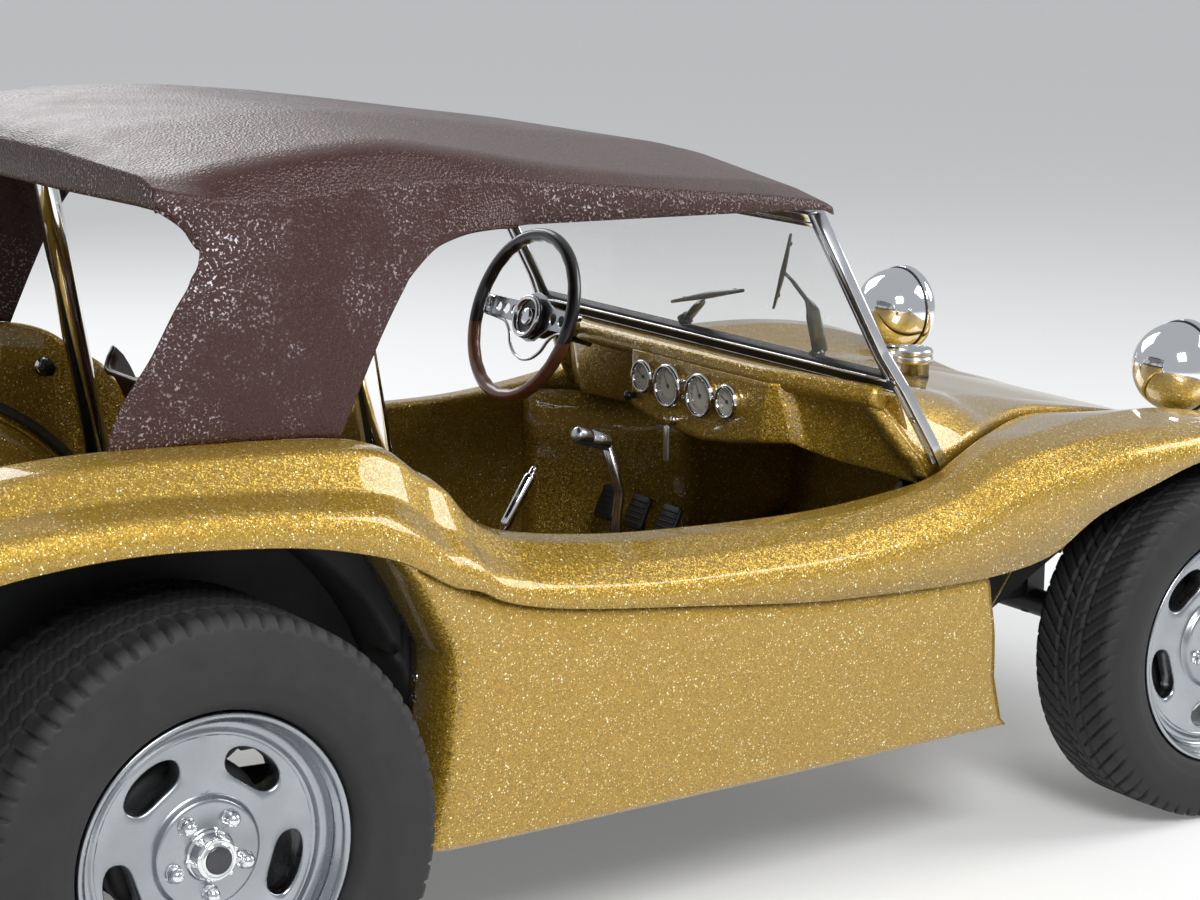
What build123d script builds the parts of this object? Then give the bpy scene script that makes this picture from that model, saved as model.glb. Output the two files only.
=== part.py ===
from build123d import *
import os
from math import atan2, cos, degrees, radians, sin, sqrt

os.makedirs("parts", exist_ok=True)

# Driving dimensions in millimetres. X forward, Y to the left, Z up, origin on the
# ground under the middle of the car.

WHEELBASE = 2032
REAR_OVERHANG = 780
FRONT_OVERHANG = 515
REAR_X = -(REAR_OVERHANG + WHEELBASE + FRONT_OVERHANG) / 2 + REAR_OVERHANG
FRONT_X = REAR_X + WHEELBASE

REAR_TYRE_R = 346
REAR_TYRE_WIDTH = 276
REAR_RIM_WIDTH = 228
REAR_HALF_TRACK = 668
FRONT_TYRE_R = 314
FRONT_TYRE_WIDTH = 204
FRONT_RIM_WIDTH = 178
FRONT_HALF_TRACK = 627
RIM_R = 208
RIM_INSET = 42
STUB_R = 24
HUB_R = 62
HUB_DEPTH = 52

SHELL_WALL = 6
PANEL_GAP = 3
FLOOR_Z = 240
HOUSE_R = 440
HOUSE_INNER_S = 450
SHELF_Z = 486
HEEL_X_FROM_AXLE = 510
BODY_FOOT_Z = FLOOR_Z + SHELL_WALL

TUBE_R = 22.25
HOOP_S = 531

BEAM_X = FRONT_X + 118
BEAM_Z = (FRONT_TYRE_R - 75, FRONT_TYRE_R + 75)
BEAM_R = 26
BEAM_HALF = 378
BUMPER_Z = BEAM_Z[1]
HORN_R = 26
HORN_S = 205
HORN_Z = REAR_TYRE_R - 61

TUNNEL_W = 130
TUNNEL_H = 130
PAN_T = 4


def rear(x):
    return REAR_X + x


def front(x):
    return FRONT_X + x


def table_value(rows, column, x):
    """Smooth monotone curve through one column of a table whose first column is x."""
    xs = [row[0] for row in rows]
    ys = [row[column] for row in rows]
    steps = [b - a for a, b in zip(xs, xs[1:])]
    rises = [(b - a) / step for a, b, step in zip(ys, ys[1:], steps)]
    slopes = [rises[0]]
    for left, right in zip(rises, rises[1:]):
        slopes.append(0 if left * right <= 0 else 2 * left * right / (left + right))
    slopes.append(rises[-1])
    i = max(0, min(len(steps) - 1, sum(1 for value in xs[1:] if value <= x)))
    t = (x - xs[i]) / steps[i]
    a = (1 + 2 * t) * (1 - t) ** 2 * ys[i] + t * t * (3 - 2 * t) * ys[i + 1]
    b = t * (1 - t) ** 2 * slopes[i] - t * t * (1 - t) * slopes[i + 1]
    return a + b * steps[i]


def parallel(points, distance):
    """The same corners moved to the left of the path by a distance."""
    path = [Vector(*point) for point in points]
    ways = [(b - a).normalized() for a, b in zip(path, path[1:])]
    sides = [Vector(-way.Y, way.X) for way in ways]
    moved = [path[0] + sides[0] * distance]
    for corner, before, after in zip(path[1:], sides, sides[1:]):
        middle = (before + after).normalized()
        moved.append(corner + middle * (distance / middle.dot(before)))
    moved.append(path[-1] + sides[-1] * distance)
    return [(point.X, point.Y) for point in moved]


def draw_band(points, radii, wall):
    """Draw a closed sheet section: rounded corners, the wall to the left of the path."""
    path = [Vector(*point) for point in points]
    inner = parallel(points, wall)
    inner_radii = []
    for a, b, c, radius in zip(path, path[1:], path[2:], radii):
        turn = (b - a).cross(c - b).Z
        inner_radii.append(radius - wall if turn > 0 else radius + wall)
    FilletPolyline(*points, radius=radii)
    FilletPolyline(*inner, radius=inner_radii)
    Line(points[0], inner[0])
    Line(points[-1], inner[-1])


def sheet(plane, points, radii, wall, amount, both=False):
    """A bent sheet: a band drawn on a plane and extruded."""
    with BuildPart() as made:
        with BuildSketch(plane):
            with BuildLine():
                draw_band(points, radii, wall)
            make_face()
        extrude(amount=amount, both=both)
    return made.part


def pipe(points, bend, radius):
    """A round tube or rod along a path with rounded corners."""
    with BuildPart() as made:
        with BuildLine() as path:
            if len(points) > 2:
                FilletPolyline(*points, radius=bend)
            else:
                Line(*points)
        with BuildSketch(path.line ^ 0):
            Circle(radius)
        sweep()
    return made.part


def save(part, label):
    part.label = label
    export_step(part, f"parts/{label}.step")


# Body side: x, inner foot (flange s, wall s, z), rail z, then the outer skin as (s, z) pairs
# of the top, the step, the shoulder and the lip. s is the distance from the centre plane.
SIDE_ROWS = [
    (rear(-520), 500, 545, 560, 640, 610, 634, 656, 606, 704, 588, 718, 530),
    (rear(-430), 480, 574, 500, 812, 636, 802, 684, 762, 734, 746, 754, 690),
    (rear(-300), 460, 588, 470, 884, 648, 872, 692, 834, 744, 820, 767, 772),
    (rear(-120), 460, 590, 470, 895, 650, 884, 694, 842, 748, 828, 772, 786),
    (rear(110), 460, 590, 470, 886, 650, 874, 692, 828, 746, 812, 768, 768),
    (rear(300), 460, 590, 440, 872, 646, 860, 684, 806, 734, 778, 752, 722),
    (rear(390), 500, 585, 250, 842, 636, 830, 672, 764, 720, 724, 738, 676),
    (rear(470), 510, 574, BODY_FOOT_Z, 764, 624, 752, 664, 702, 708, 672, 722, 636),
    (rear(580), 510, 566, BODY_FOOT_Z, 694, 616, 684, 660, 658, 700, 634, 714, 602),
    (rear(860), 510, 565, BODY_FOOT_Z, 656, 616, 650, 662, 628, 698, 600, 709, 562),
    (rear(1150), 510, 565, BODY_FOOT_Z, 646, 616, 642, 662, 620, 696, 588, 707, 530),
    (front(-602), 510, 565, BODY_FOOT_Z, 666, 612, 668, 656, 650, 692, 612, 705, 520),
    (front(-522), 432, 550, 560, 694, 602, 698, 652, 682, 692, 640, 704, 524),
    (front(-432), 350, 520, 640, 716, 592, 718, 650, 706, 696, 662, 706, 540),
    (front(-342), 344, 450, 652, 706, 580, 724, 652, 714, 702, 678, 712, 596),
    (front(-222), 336, 390, 652, 706, 560, 730, 652, 722, 710, 698, 718, 634),
    (front(-88), 328, 355, 636, 688, 545, 728, 652, 720, 714, 704, 722, 668),
    (front(48), 300, 330, 612, 664, 530, 710, 650, 708, 716, 700, 724, 672),
    (front(158), 290, 315, 588, 640, 505, 682, 640, 688, 712, 678, 722, 648),
    (front(268), 280, 300, 560, 612, 480, 642, 620, 650, 696, 634, 706, 600),
    (front(368), 265, 285, 526, 578, 440, 590, 575, 594, 640, 576, 650, 540),
    (front(448), 250, 270, 478, 524, 380, 526, 470, 526, 520, 510, 530, 476),
]
SIDE_STATIONS = [rear(x) for x in (-520, -475, -430, -365, -300, -120, 110, 300, 345, 390, 430,
                                   470, 520, 580, 700, 860, 1150, 1300)]
SIDE_STATIONS += [front(x) for x in (-602, -522, -432, -342, -222, -88, 48, 158, 268, 318, 368,
                                     410, 448)]
SIDE_RADII = [10, 14, 30, 22, 34]


def side_points(x):
    """Corners of the right body side's section at x, as (y, z)."""
    flange, wall, foot, rail, *skin = [table_value(SIDE_ROWS, c, x) for c in range(1, 13)]
    outer = [(-s, z) for s, z in zip(skin[0::2], skin[1::2])]
    return [(-flange, foot), (-wall, foot), (-wall, rail)] + outer


# Body shell: sides with fenders, wheel houses, rear deck, nose and front inner walls.
with BuildPart() as half_side:
    for x in SIDE_STATIONS:
        with BuildSketch(Plane.YZ.offset(x)):
            with BuildLine():
                draw_band(side_points(x), SIDE_RADII, SHELL_WALL)
            make_face()
    loft(ruled=True)
left_side = mirror(half_side.part, about=Plane.XZ)

with BuildPart() as half_house:
    with BuildSketch(Plane.XZ.offset(HOUSE_INNER_S)):
        with Locations((REAR_X, REAR_TYRE_R)):
            Circle(HOUSE_R + SHELL_WALL)
    extrude(amount=SHELL_WALL)
    with BuildSketch(Plane.XZ.offset(HOUSE_INNER_S)):
        with Locations((REAR_X, REAR_TYRE_R)):
            Circle(HOUSE_R + SHELL_WALL)
            Circle(HOUSE_R, mode=Mode.SUBTRACT)
    extrude(amount=593 - HOUSE_INNER_S)
    with BuildSketch(Plane.XY.offset(-200)):
        with Locations((REAR_X, -520)):
            Rectangle(1000, 300)
    extrude(amount=200 + SHELF_Z - SHELL_WALL, mode=Mode.SUBTRACT)

HEEL_X = rear(HEEL_X_FROM_AXLE)
DECK = [(HEEL_X + 8, FLOOR_Z + 1), (HEEL_X, SHELF_Z), (rear(-60), SHELF_Z),
        (rear(-150), 845), (rear(-275), 838), (rear(-280), 800)]
with BuildPart() as deck:
    add(sheet(Plane.XZ, DECK, [20, 30, 30, 12], SHELL_WALL, 593, both=True))
    with BuildSketch(Plane.YZ.offset(HEEL_X - 40)):
        with Locations((0, FLOOR_Z + 60)):
            Rectangle(TUNNEL_W + 16, TUNNEL_H + 26)
    extrude(amount=90, mode=Mode.SUBTRACT)
    for side in (-1, 1):
        trim = [(x, side * (table_value(SIDE_ROWS, 2, x) + SHELL_WALL / 2))
                for x in (rear(300), rear(390), rear(470), rear(580))]
        with BuildSketch(Plane.XY.offset(FLOOR_Z - SHELL_WALL)):
            with BuildLine():
                Polyline(*trim, (rear(580), side * 640), (rear(300), side * 640), close=True)
            make_face()
        extrude(amount=400, mode=Mode.SUBTRACT)

INNER_WALL = [(rear(1360), -568), (front(-430), -352), (front(-60), -328), (front(450), -256)]
with BuildPart() as inner_wall:
    add(sheet(Plane.XY.offset(FLOOR_Z), INNER_WALL, [90, 200], -SHELL_WALL, 480))
    with BuildSketch(Plane.XZ):
        with BuildLine():
            Polyline((rear(1300), 645), (front(-500), 645), (front(-342), 660), (front(-222), 658),
                     (front(-88), 640), (front(48), 616), (front(158), 592), (front(268), 564),
                     (front(368), 530), (front(500), 460), (front(500), 900), (rear(1300), 900),
                     close=True)
        make_face()
    extrude(amount=700, both=True, mode=Mode.SUBTRACT)
    with BuildSketch(Plane.XZ):
        with BuildLine():
            Polyline((front(-350), 200), (front(-240), 330), (front(60), 470), (front(520), 400),
                     (front(520), 200), close=True)
        make_face()
    extrude(amount=700, both=True, mode=Mode.SUBTRACT)

NOSE_START = front(-60)
with BuildPart() as body_shell:
    add(inner_wall.part)
    with BuildSketch(Plane.YZ.offset(NOSE_START)):
        Rectangle(1600, 2000)
    extrude(amount=800, mode=Mode.SUBTRACT)
    add(half_side.part)
    add(half_house.part)
    mirror(about=Plane.XZ)
    add(deck.part)
    for side in (-1, 1):
        with BuildSketch(Plane.XZ.offset(-side * (HOUSE_INNER_S + SHELL_WALL))):
            with Locations((REAR_X, REAR_TYRE_R)):
                Circle(HOUSE_R)
        extrude(amount=-side * (640 - HOUSE_INNER_S - SHELL_WALL), mode=Mode.SUBTRACT)
save(body_shell.part, "body_shell")

# Nose panel: the upright front plate and its side walls, in under the body's edge.
with BuildPart() as nose_panel:
    add(inner_wall.part)
    with BuildSketch(Plane.YZ.offset(NOSE_START)):
        Rectangle(1600, 2000)
    extrude(amount=-1200, mode=Mode.SUBTRACT)
    with BuildSketch(Plane.XZ):
        with BuildLine():
            Polyline((NOSE_START, 632), (front(48), 609), (front(158), 585), (front(268), 557),
                     (front(368), 523), (front(460), 470), (front(460), 900), (NOSE_START, 900),
                     close=True)
        make_face()
    extrude(amount=600, both=True, mode=Mode.SUBTRACT)
    mirror(about=Plane.XZ)
    with BuildSketch(Plane.YZ.offset(front(442))):
        with Locations((0, 470)):
            RectangleRounded(560, 96, 20)
    extrude(amount=SHELL_WALL)
    add(body_shell.part, mode=Mode.SUBTRACT)
save(nose_panel.part.solids().sort_by(SortBy.VOLUME)[-1], "nose_panel")


# Side panels: a bolted-on skin below the body lip, from wheel arch to wheel arch.
PANEL_ROWS = [
    (rear(290), 730, 560, 716, 420, 694, 242),
    (rear(390), 722, 540, 712, 400, 690, 242),
    (rear(470), 716, 530, 706, 400, 684, 238),
    (rear(860), 704, 490, 694, 380, 672, 234),
    (rear(1150), 700, 450, 688, 370, 664, 232),
    (front(-475), 694, 440, 680, 350, 656, 232),
]
PANEL_STATIONS = [rear(290)] + [x for x in SIDE_STATIONS if rear(300) <= x <= front(-522)] + [front(-475)]
PANEL_ARCH = [(rear(284), 742), (rear(344), 692), (rear(393), 626), (rear(418), 548),
              (rear(416), 470), (rear(396), 350), (rear(388), 232)]
PANEL_RETURN_S = 594
PANEL_SEAM = 2
PANEL_FRONT = [(rear(1464), 580), (rear(1474), 480), (rear(1496), 372), (rear(1506), 300),
               (rear(1530), 258), (rear(1557), 236), (rear(1557), 200), (rear(1620), 200),
               (rear(1620), 580)]
PANEL_TUCK = 18


def panel_points(x):
    """Corners of the right side panel's section at x, as (y, z), tucked up behind the lip."""
    lip, lip_z = table_value(SIDE_ROWS, 11, x), table_value(SIDE_ROWS, 12, x)
    inside = lip - SHELL_WALL - PANEL_GAP
    values = [table_value(PANEL_ROWS, c, x) for c in range(1, 7)]
    skin = [(-s, z) for s, z in zip(values[0::2], values[1::2])]
    foot = (-table_value(SIDE_ROWS, 2, x) - SHELL_WALL, skin[-1][1] + 2)
    return [(-inside + 10, lip_z + PANEL_TUCK), (-inside, lip_z - PANEL_TUCK)] + skin + [foot]


with BuildPart() as panel_return:
    for x in PANEL_STATIONS:
        with BuildSketch(Plane.YZ.offset(x)):
            with BuildLine():
                skin = [(y + SHELL_WALL / 2, z) for y, z in panel_points(x)[1:-1]]
                Polyline((-PANEL_RETURN_S, skin[0][1]), *skin, (-PANEL_RETURN_S, skin[-1][1]), close=True)
            make_face()
    loft(ruled=True)
    with BuildSketch(Plane.XZ.offset(PANEL_RETURN_S)):
        with BuildLine():
            draw_band(PANEL_ARCH, [80] * (len(PANEL_ARCH) - 2), SHELL_WALL)
        make_face()
    extrude(amount=200, mode=Mode.INTERSECT)
with BuildPart() as right_panel:
    for x in PANEL_STATIONS:
        with BuildSketch(Plane.YZ.offset(x)):
            with BuildLine():
                draw_band(panel_points(x), [20, 400, 400, 22], SHELL_WALL)
            make_face()
    loft(ruled=True)
    with BuildSketch(Plane.XZ):
        with BuildLine():
            Polyline(*PANEL_FRONT, close=True)
        make_face()
        with BuildLine():
            Polyline(*[(x + PANEL_SEAM, z) for x, z in PANEL_ARCH], (rear(390), 200), (rear(260), 200),
                     (rear(260), 760), close=True)
        make_face()
    extrude(amount=900, mode=Mode.SUBTRACT)
    add(panel_return.part)
save(right_panel.part, "side_panel_right")
save(mirror(right_panel.part, about=Plane.XZ), "side_panel_left")


# Floor pan: pressed sheet, hollow tunnel and frame head, on the shortened platform.
with BuildPart() as floor_pan:
    with BuildSketch(Plane.XY.offset(FLOOR_Z - PAN_T)):
        with BuildLine():
            Polyline((HEEL_X - 6, -560), (rear(1360), -560), (front(-430), -345),
                     (front(-430), 345), (rear(1360), 560), (HEEL_X - 6, 560), close=True)
        make_face()
    extrude(amount=PAN_T)
    with BuildSketch(Plane.YZ.offset(HEEL_X - 6)):
        with Locations((0, FLOOR_Z + TUNNEL_H / 2 - PAN_T)):
            Rectangle(TUNNEL_W, TUNNEL_H)
    extrude(amount=front(-430) - HEEL_X + 6)
    with BuildSketch(Plane.XY.offset(FLOOR_Z + 10)):
        with BuildLine():
            Polyline((front(-500), -150), (front(-140), -75), (front(96), -75),
                     (front(96), 75), (front(-140), 75), (front(-500), 150), close=True)
        make_face()
    extrude(amount=90)
    with BuildSketch(Plane.YZ.offset(HEEL_X - 20)):
        with Locations((0, FLOOR_Z + TUNNEL_H / 2 - PAN_T)):
            Rectangle(TUNNEL_W - 8, TUNNEL_H - 8)
    extrude(amount=front(-450) - HEEL_X + 20, mode=Mode.SUBTRACT)
    with BuildSketch(Plane.XZ.offset(-BEAM_HALF)):
        with Locations(*[(BEAM_X, z) for z in BEAM_Z]):
            Circle(BEAM_R)
    extrude(amount=2 * BEAM_HALF, mode=Mode.SUBTRACT)
save(floor_pan.part, "floor_pan")


# Hood and cowl: x, edge s, edge z, shoulder s, crown z.
FILLER_R = 28
HOOD_ROWS = [
    (front(-660), 548, 694, 490, 808),
    (front(-560), 546, 694, 470, 794),
    (front(-500), 538, 702, 450, 780),
    (front(-432), 516, 722, 420, 764),
    (front(-342), 446, 712, 330, 738),
    (front(-222), 386, 712, 280, 716),
    (front(-88), 351, 694, 240, 690),
    (front(48), 326, 670, 220, 664),
    (front(158), 311, 646, 210, 640),
    (front(268), 296, 618, 200, 614),
    (front(368), 281, 584, 190, 582),
    (front(440), 268, 532, 180, 540),
]
with BuildPart() as hood_cowl:
    for row in HOOD_ROWS:
        x, edge, edge_z, shoulder, crown = row
        with BuildSketch(Plane.YZ.offset(x)):
            with BuildLine():
                draw_band([(edge - 4, edge_z - 36), (edge - 4, edge_z + 6), (shoulder, crown + 6),
                           (-shoulder, crown + 6), (4 - edge, edge_z + 6), (4 - edge, edge_z - 36)],
                          [12, 90, 90, 12], SHELL_WALL)
            make_face()
    loft(ruled=True)
    with BuildSketch(Plane.XY.offset(600)):
        with Locations((front(-142), 0)):
            Circle(FILLER_R)
    extrude(amount=300, mode=Mode.SUBTRACT)
save(hood_cowl.part, "hood_cowl")


# Dash: a moulded face that stands out into an instrument pod at the middle.
DASH_PLAN = [(rear(1452), -520), (rear(1398), -415), (rear(1300), -366), (rear(1292), -120),
             (rear(1296), 104), (rear(1392), 140), (rear(1396), 415), (rear(1452), 520)]
DASH_LOW = 690
DASH_TOP = 807
with BuildPart() as dash_panel:
    add(sheet(Plane.XY.offset(DASH_LOW), DASH_PLAN, [40, 20, 200, 20, 40, 40], -SHELL_WALL,
              DASH_TOP - DASH_LOW))
    with BuildSketch(Plane.XY.offset(DASH_TOP - SHELL_WALL)):
        with BuildLine():
            Polyline(*DASH_PLAN[2:5], (rear(1385), 136), (rear(1385), -402), close=True)
        make_face()
    extrude(amount=SHELL_WALL)
    for side in (-1, 1):
        with BuildSketch(Plane.YZ.offset(rear(1200))):
            with BuildLine():
                Polyline((side * 425, 820), (side * 530, 690), (side * 700, 690), (side * 700, 900),
                         (side * 425, 900), close=True)
            make_face()
        extrude(amount=400, mode=Mode.SUBTRACT)
# Windshield: flat, leaned back, in a frame whose arms run down beside the cowl.
GLASS_LEAN = 29.2
GLASS_FOOT = (rear(1394), 0, 820)
GLASS_H = 348
GLASS_HALF_FOOT = 512
GLASS_HALF_TOP = 504
POST_W = 30
glass_plane = Plane(GLASS_FOOT, x_dir=(0, 1, 0),
                    z_dir=(cos(radians(GLASS_LEAN)), 0, sin(radians(GLASS_LEAN))))
with BuildPart() as windshield_frame:
    with BuildSketch(glass_plane):
        with BuildLine():
            Polyline((-GLASS_HALF_FOOT - POST_W, -10), (-GLASS_HALF_TOP - POST_W, GLASS_H),
                     (GLASS_HALF_TOP + POST_W, GLASS_H), (GLASS_HALF_FOOT + POST_W, -10), close=True)
        make_face()
        with BuildLine():
            Polyline((-GLASS_HALF_FOOT, 26), (-GLASS_HALF_TOP, GLASS_H - 26),
                     (GLASS_HALF_TOP, GLASS_H - 26), (GLASS_HALF_FOOT, 26), close=True)
        make_face(mode=Mode.SUBTRACT)
    extrude(amount=9, both=True)
    for side in (-1, 1):
        with BuildSketch(glass_plane):
            with BuildLine():
                Polyline((side * (GLASS_HALF_FOOT + POST_W), 40), (side * (GLASS_HALF_FOOT + 42), 0),
                         (side * 566, -120), (side * 566, -150), (side * 552, -150),
                         (side * 552, -120), (side * 534, 0), (side * 534, 40), close=True)
            make_face()
        extrude(amount=9, both=True)
    add(hood_cowl.part, mode=Mode.SUBTRACT)
save(windshield_frame.part, "windshield_frame")
with BuildPart() as windshield_glass:
    with BuildSketch(glass_plane):
        with BuildLine():
            Polyline((1 - GLASS_HALF_FOOT, 27), (1 - GLASS_HALF_TOP, GLASS_H - 27),
                     (GLASS_HALF_TOP - 1, GLASS_H - 27), (GLASS_HALF_FOOT - 1, 27), close=True)
        make_face()
    extrude(amount=2.5, both=True)
save(windshield_glass.part, "windshield_glass")

for name, pivot in (("left", -330), ("right", 130)):
    with BuildPart() as wiper:
        with BuildSketch(glass_plane.offset(11)):
            with Locations(Location((pivot, 120, 0), (0, 0, 1), 12)):
                Rectangle(9, 230)
        extrude(amount=5)
        with BuildSketch(glass_plane.offset(9)):
            with Locations((pivot + 22, 12)):
                Circle(13)
        extrude(amount=14)
    save(wiper.part, f"wiper_{name}")


# Roof: a thin crowned top with side sails that stand on the body rail.
ROOF_ROWS = [
    (rear(24), 1266, 1265, 540, 1257, 588, 1243, 1213),
    (rear(60), 1290, 1284, 545, 1252, 597, 1234, 1186),
    (rear(84), 1296, 1290, 548, 1256, 598, 1226, 1156),
    (rear(175), 1304, 1298, 555, 1270, 600, 1217, 1160),
    (rear(385), 1312, 1306, 555, 1287, 602, 1227, 1160),
    (rear(540), 1301, 1294, 555, 1264, 600, 1226, 1157),
    (rear(645), 1289, 1282, 554, 1243, 598, 1214, 1154),
    (rear(908), 1252, 1244, 540, 1204, 592, 1185, 1147),
    (rear(1140), 1216, 1209, 510, 1178, 578, 1158, 1139),
    (rear(1196), 1198, 1192, 500, 1164, 572, 1149, 1136),
    (rear(1224), 1172, 1168, 490, 1148, 566, 1138, 1126),
]
ROOF_WALL = 8
SAIL_S = 598
VALANCE = [(-584, 1213), (-470, 1214), (-235, 1209), (235, 1209), (470, 1214), (584, 1213),
           (580, 1240), (540, 1252), (270, 1261), (-270, 1261), (-540, 1252), (-580, 1240)]
HEADER = [(-504, GLASS_H), (504, GLASS_H), (478, 384), (235, 412), (-235, 412), (-478, 384)]
with BuildPart() as roof_top:
    for x, crown, mid, shoulder, shoulder_z, edge, corner_z, edge_z in ROOF_ROWS:
        with BuildSketch(Plane.YZ.offset(x)):
            with BuildLine():
                draw_band([(edge, edge_z), (edge - 4, corner_z), (shoulder, shoulder_z),
                           (shoulder / 2, (crown + mid) / 2), (-shoulder / 2, (crown + mid) / 2),
                           (-shoulder, shoulder_z), (4 - edge, corner_z), (-edge, edge_z)],
                          [10, 60, 300, 300, 60, 10], ROOF_WALL)
            make_face()
    loft(ruled=True)
    with BuildSketch(Plane.YZ.offset(rear(24))):
        with BuildLine():
            Polyline(*VALANCE, close=True)
        make_face()
    extrude(amount=ROOF_WALL)
    with BuildSketch(glass_plane):
        with BuildLine():
            Polyline(*HEADER, close=True)
        make_face()
    extrude(amount=9, both=True)
    sail_foot = [(x, table_value(SIDE_ROWS, 4, x) - SHELL_WALL) for x in
                 (rear(-63), rear(110), rear(297))]
    for side in (-1, 1):
        with BuildSketch(Plane.XZ.offset(side * SAIL_S)):
            with BuildLine():
                FilletPolyline(*sail_foot, (rear(440), 1150), (rear(640), 1144), (rear(640), 1182),
                               (rear(66), 1200), (rear(70), 1180), (rear(88), 1150), close=True,
                               radius=[0, 0, 0, 60, 0, 0, 0, 0, 16])
            make_face()
        extrude(amount=ROOF_WALL / 2, both=True)
    add(half_side.part, mode=Mode.SUBTRACT)
    add(left_side, mode=Mode.SUBTRACT)
save(roof_top.part, "roof_top")


# Roll hoop: one chromed tube bent over the seats, feet on the rear shelf.
HOOP_SLOPE = 0.17
HOOP_TOP_Z = 1230
HOOP_FOOT_Z = SHELF_Z
hoop_foot_x = rear(389 + HOOP_SLOPE * (863 - HOOP_FOOT_Z))
hoop_top_x = rear(389 + HOOP_SLOPE * (863 - HOOP_TOP_Z))
with BuildPart() as roll_hoop:
    add(pipe([(hoop_foot_x, -HOOP_S, HOOP_FOOT_Z + 6), (hoop_top_x, -HOOP_S, HOOP_TOP_Z),
              (hoop_top_x, HOOP_S, HOOP_TOP_Z), (hoop_foot_x, HOOP_S, HOOP_FOOT_Z + 6)],
             [110, 110], TUBE_R))
    for side in (-1, 1):
        with BuildSketch(Plane.XY.offset(HOOP_FOOT_Z)):
            with Locations((hoop_foot_x + 10, side * HOOP_S)):
                Rectangle(68, 68)
        extrude(amount=10)
save(roll_hoop.part, "roll_hoop")


# Headlights: round bowls on short stalks on the front fenders.
LAMP_R = 88
LAMP_S = 405
LAMP_X = front(158)
LAMP_Z = 758
LAMP_FOOT_Z = 640
for name, side in (("headlight_right", -1), ("headlight_left", 1)):
    with BuildPart() as lamp:
        with BuildSketch(Plane.XZ.offset(-side * LAMP_S)):
            with BuildLine():
                Line((LAMP_X + 34, LAMP_Z), (LAMP_X + 34, LAMP_Z + 60))
                Line((LAMP_X + 34, LAMP_Z + 60), (LAMP_X + 24, LAMP_Z + LAMP_R))
                Line((LAMP_X + 24, LAMP_Z + LAMP_R), (LAMP_X, LAMP_Z + LAMP_R))
                ThreePointArc((LAMP_X, LAMP_Z + LAMP_R), (LAMP_X - 66, LAMP_Z + 58),
                              (LAMP_X - 92, LAMP_Z))
                Line((LAMP_X - 92, LAMP_Z), (LAMP_X + 34, LAMP_Z))
            make_face()
        revolve(axis=Axis((LAMP_X, side * LAMP_S, LAMP_Z), (1, 0, 0)))
        with BuildSketch(Plane.XY.offset(LAMP_FOOT_Z)):
            with Locations((LAMP_X - 6, side * LAMP_S)):
                Ellipse(40, 30)
        extrude(amount=36)
        with BuildSketch(Plane.XY.offset(LAMP_FOOT_Z)):
            with Locations((LAMP_X - 6, side * LAMP_S)):
                Circle(18)
        extrude(amount=60)
        add(half_side.part if side < 0 else left_side, mode=Mode.SUBTRACT)
    save(lamp.part.solids().sort_by(SortBy.VOLUME)[-1], name)

with BuildPart() as fuel_filler:
    with BuildSketch(Plane.XY.offset(682)):
        with Locations((front(-142), 0)):
            Circle(FILLER_R)
    extrude(amount=50)
    with BuildSketch(Plane.XY.offset(732)):
        with Locations((front(-142), 0)):
            Circle(35)
    extrude(amount=32)
save(fuel_filler.part, "fuel_filler")


# Front bumper: a bent tube with two stays to the axle beam.
with BuildPart() as front_bumper:
    add(pipe([(front(430), -430, BUMPER_Z), (front(FRONT_OVERHANG - 20), -330, BUMPER_Z),
              (front(FRONT_OVERHANG - 20), 330, BUMPER_Z), (front(430), 430, BUMPER_Z)],
             [80, 80], 20))
    for side in (-1, 1):
        add(pipe([(front(FRONT_OVERHANG - 20), side * 190, BUMPER_Z), (front(144), side * 190, BUMPER_Z)],
                 [], 17))
save(front_bumper.part, "front_bumper")


# Front axle: two beam tubes with upright towers.
with BuildPart() as front_beam:
    for z in BEAM_Z:
        with BuildSketch(Plane.XZ.offset(-BEAM_HALF)):
            with Locations((BEAM_X, z)):
                Circle(BEAM_R)
        extrude(amount=2 * BEAM_HALF)
    for s in (-350, -75, 75, 350):
        with BuildSketch(Plane.XZ.offset(-s - 8)):
            with Locations((BEAM_X, FRONT_TYRE_R)):
                Rectangle(44, 190 if abs(s) < 100 else 150)
        extrude(amount=16)
    for s in (-350, 350):
        with BuildSketch(Plane.XZ.offset(-s - 8)):
            with Locations((BEAM_X - 10, 480)):
                Rectangle(40, 190)
        extrude(amount=16)
save(front_beam.part, "front_axle_beam")

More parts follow.
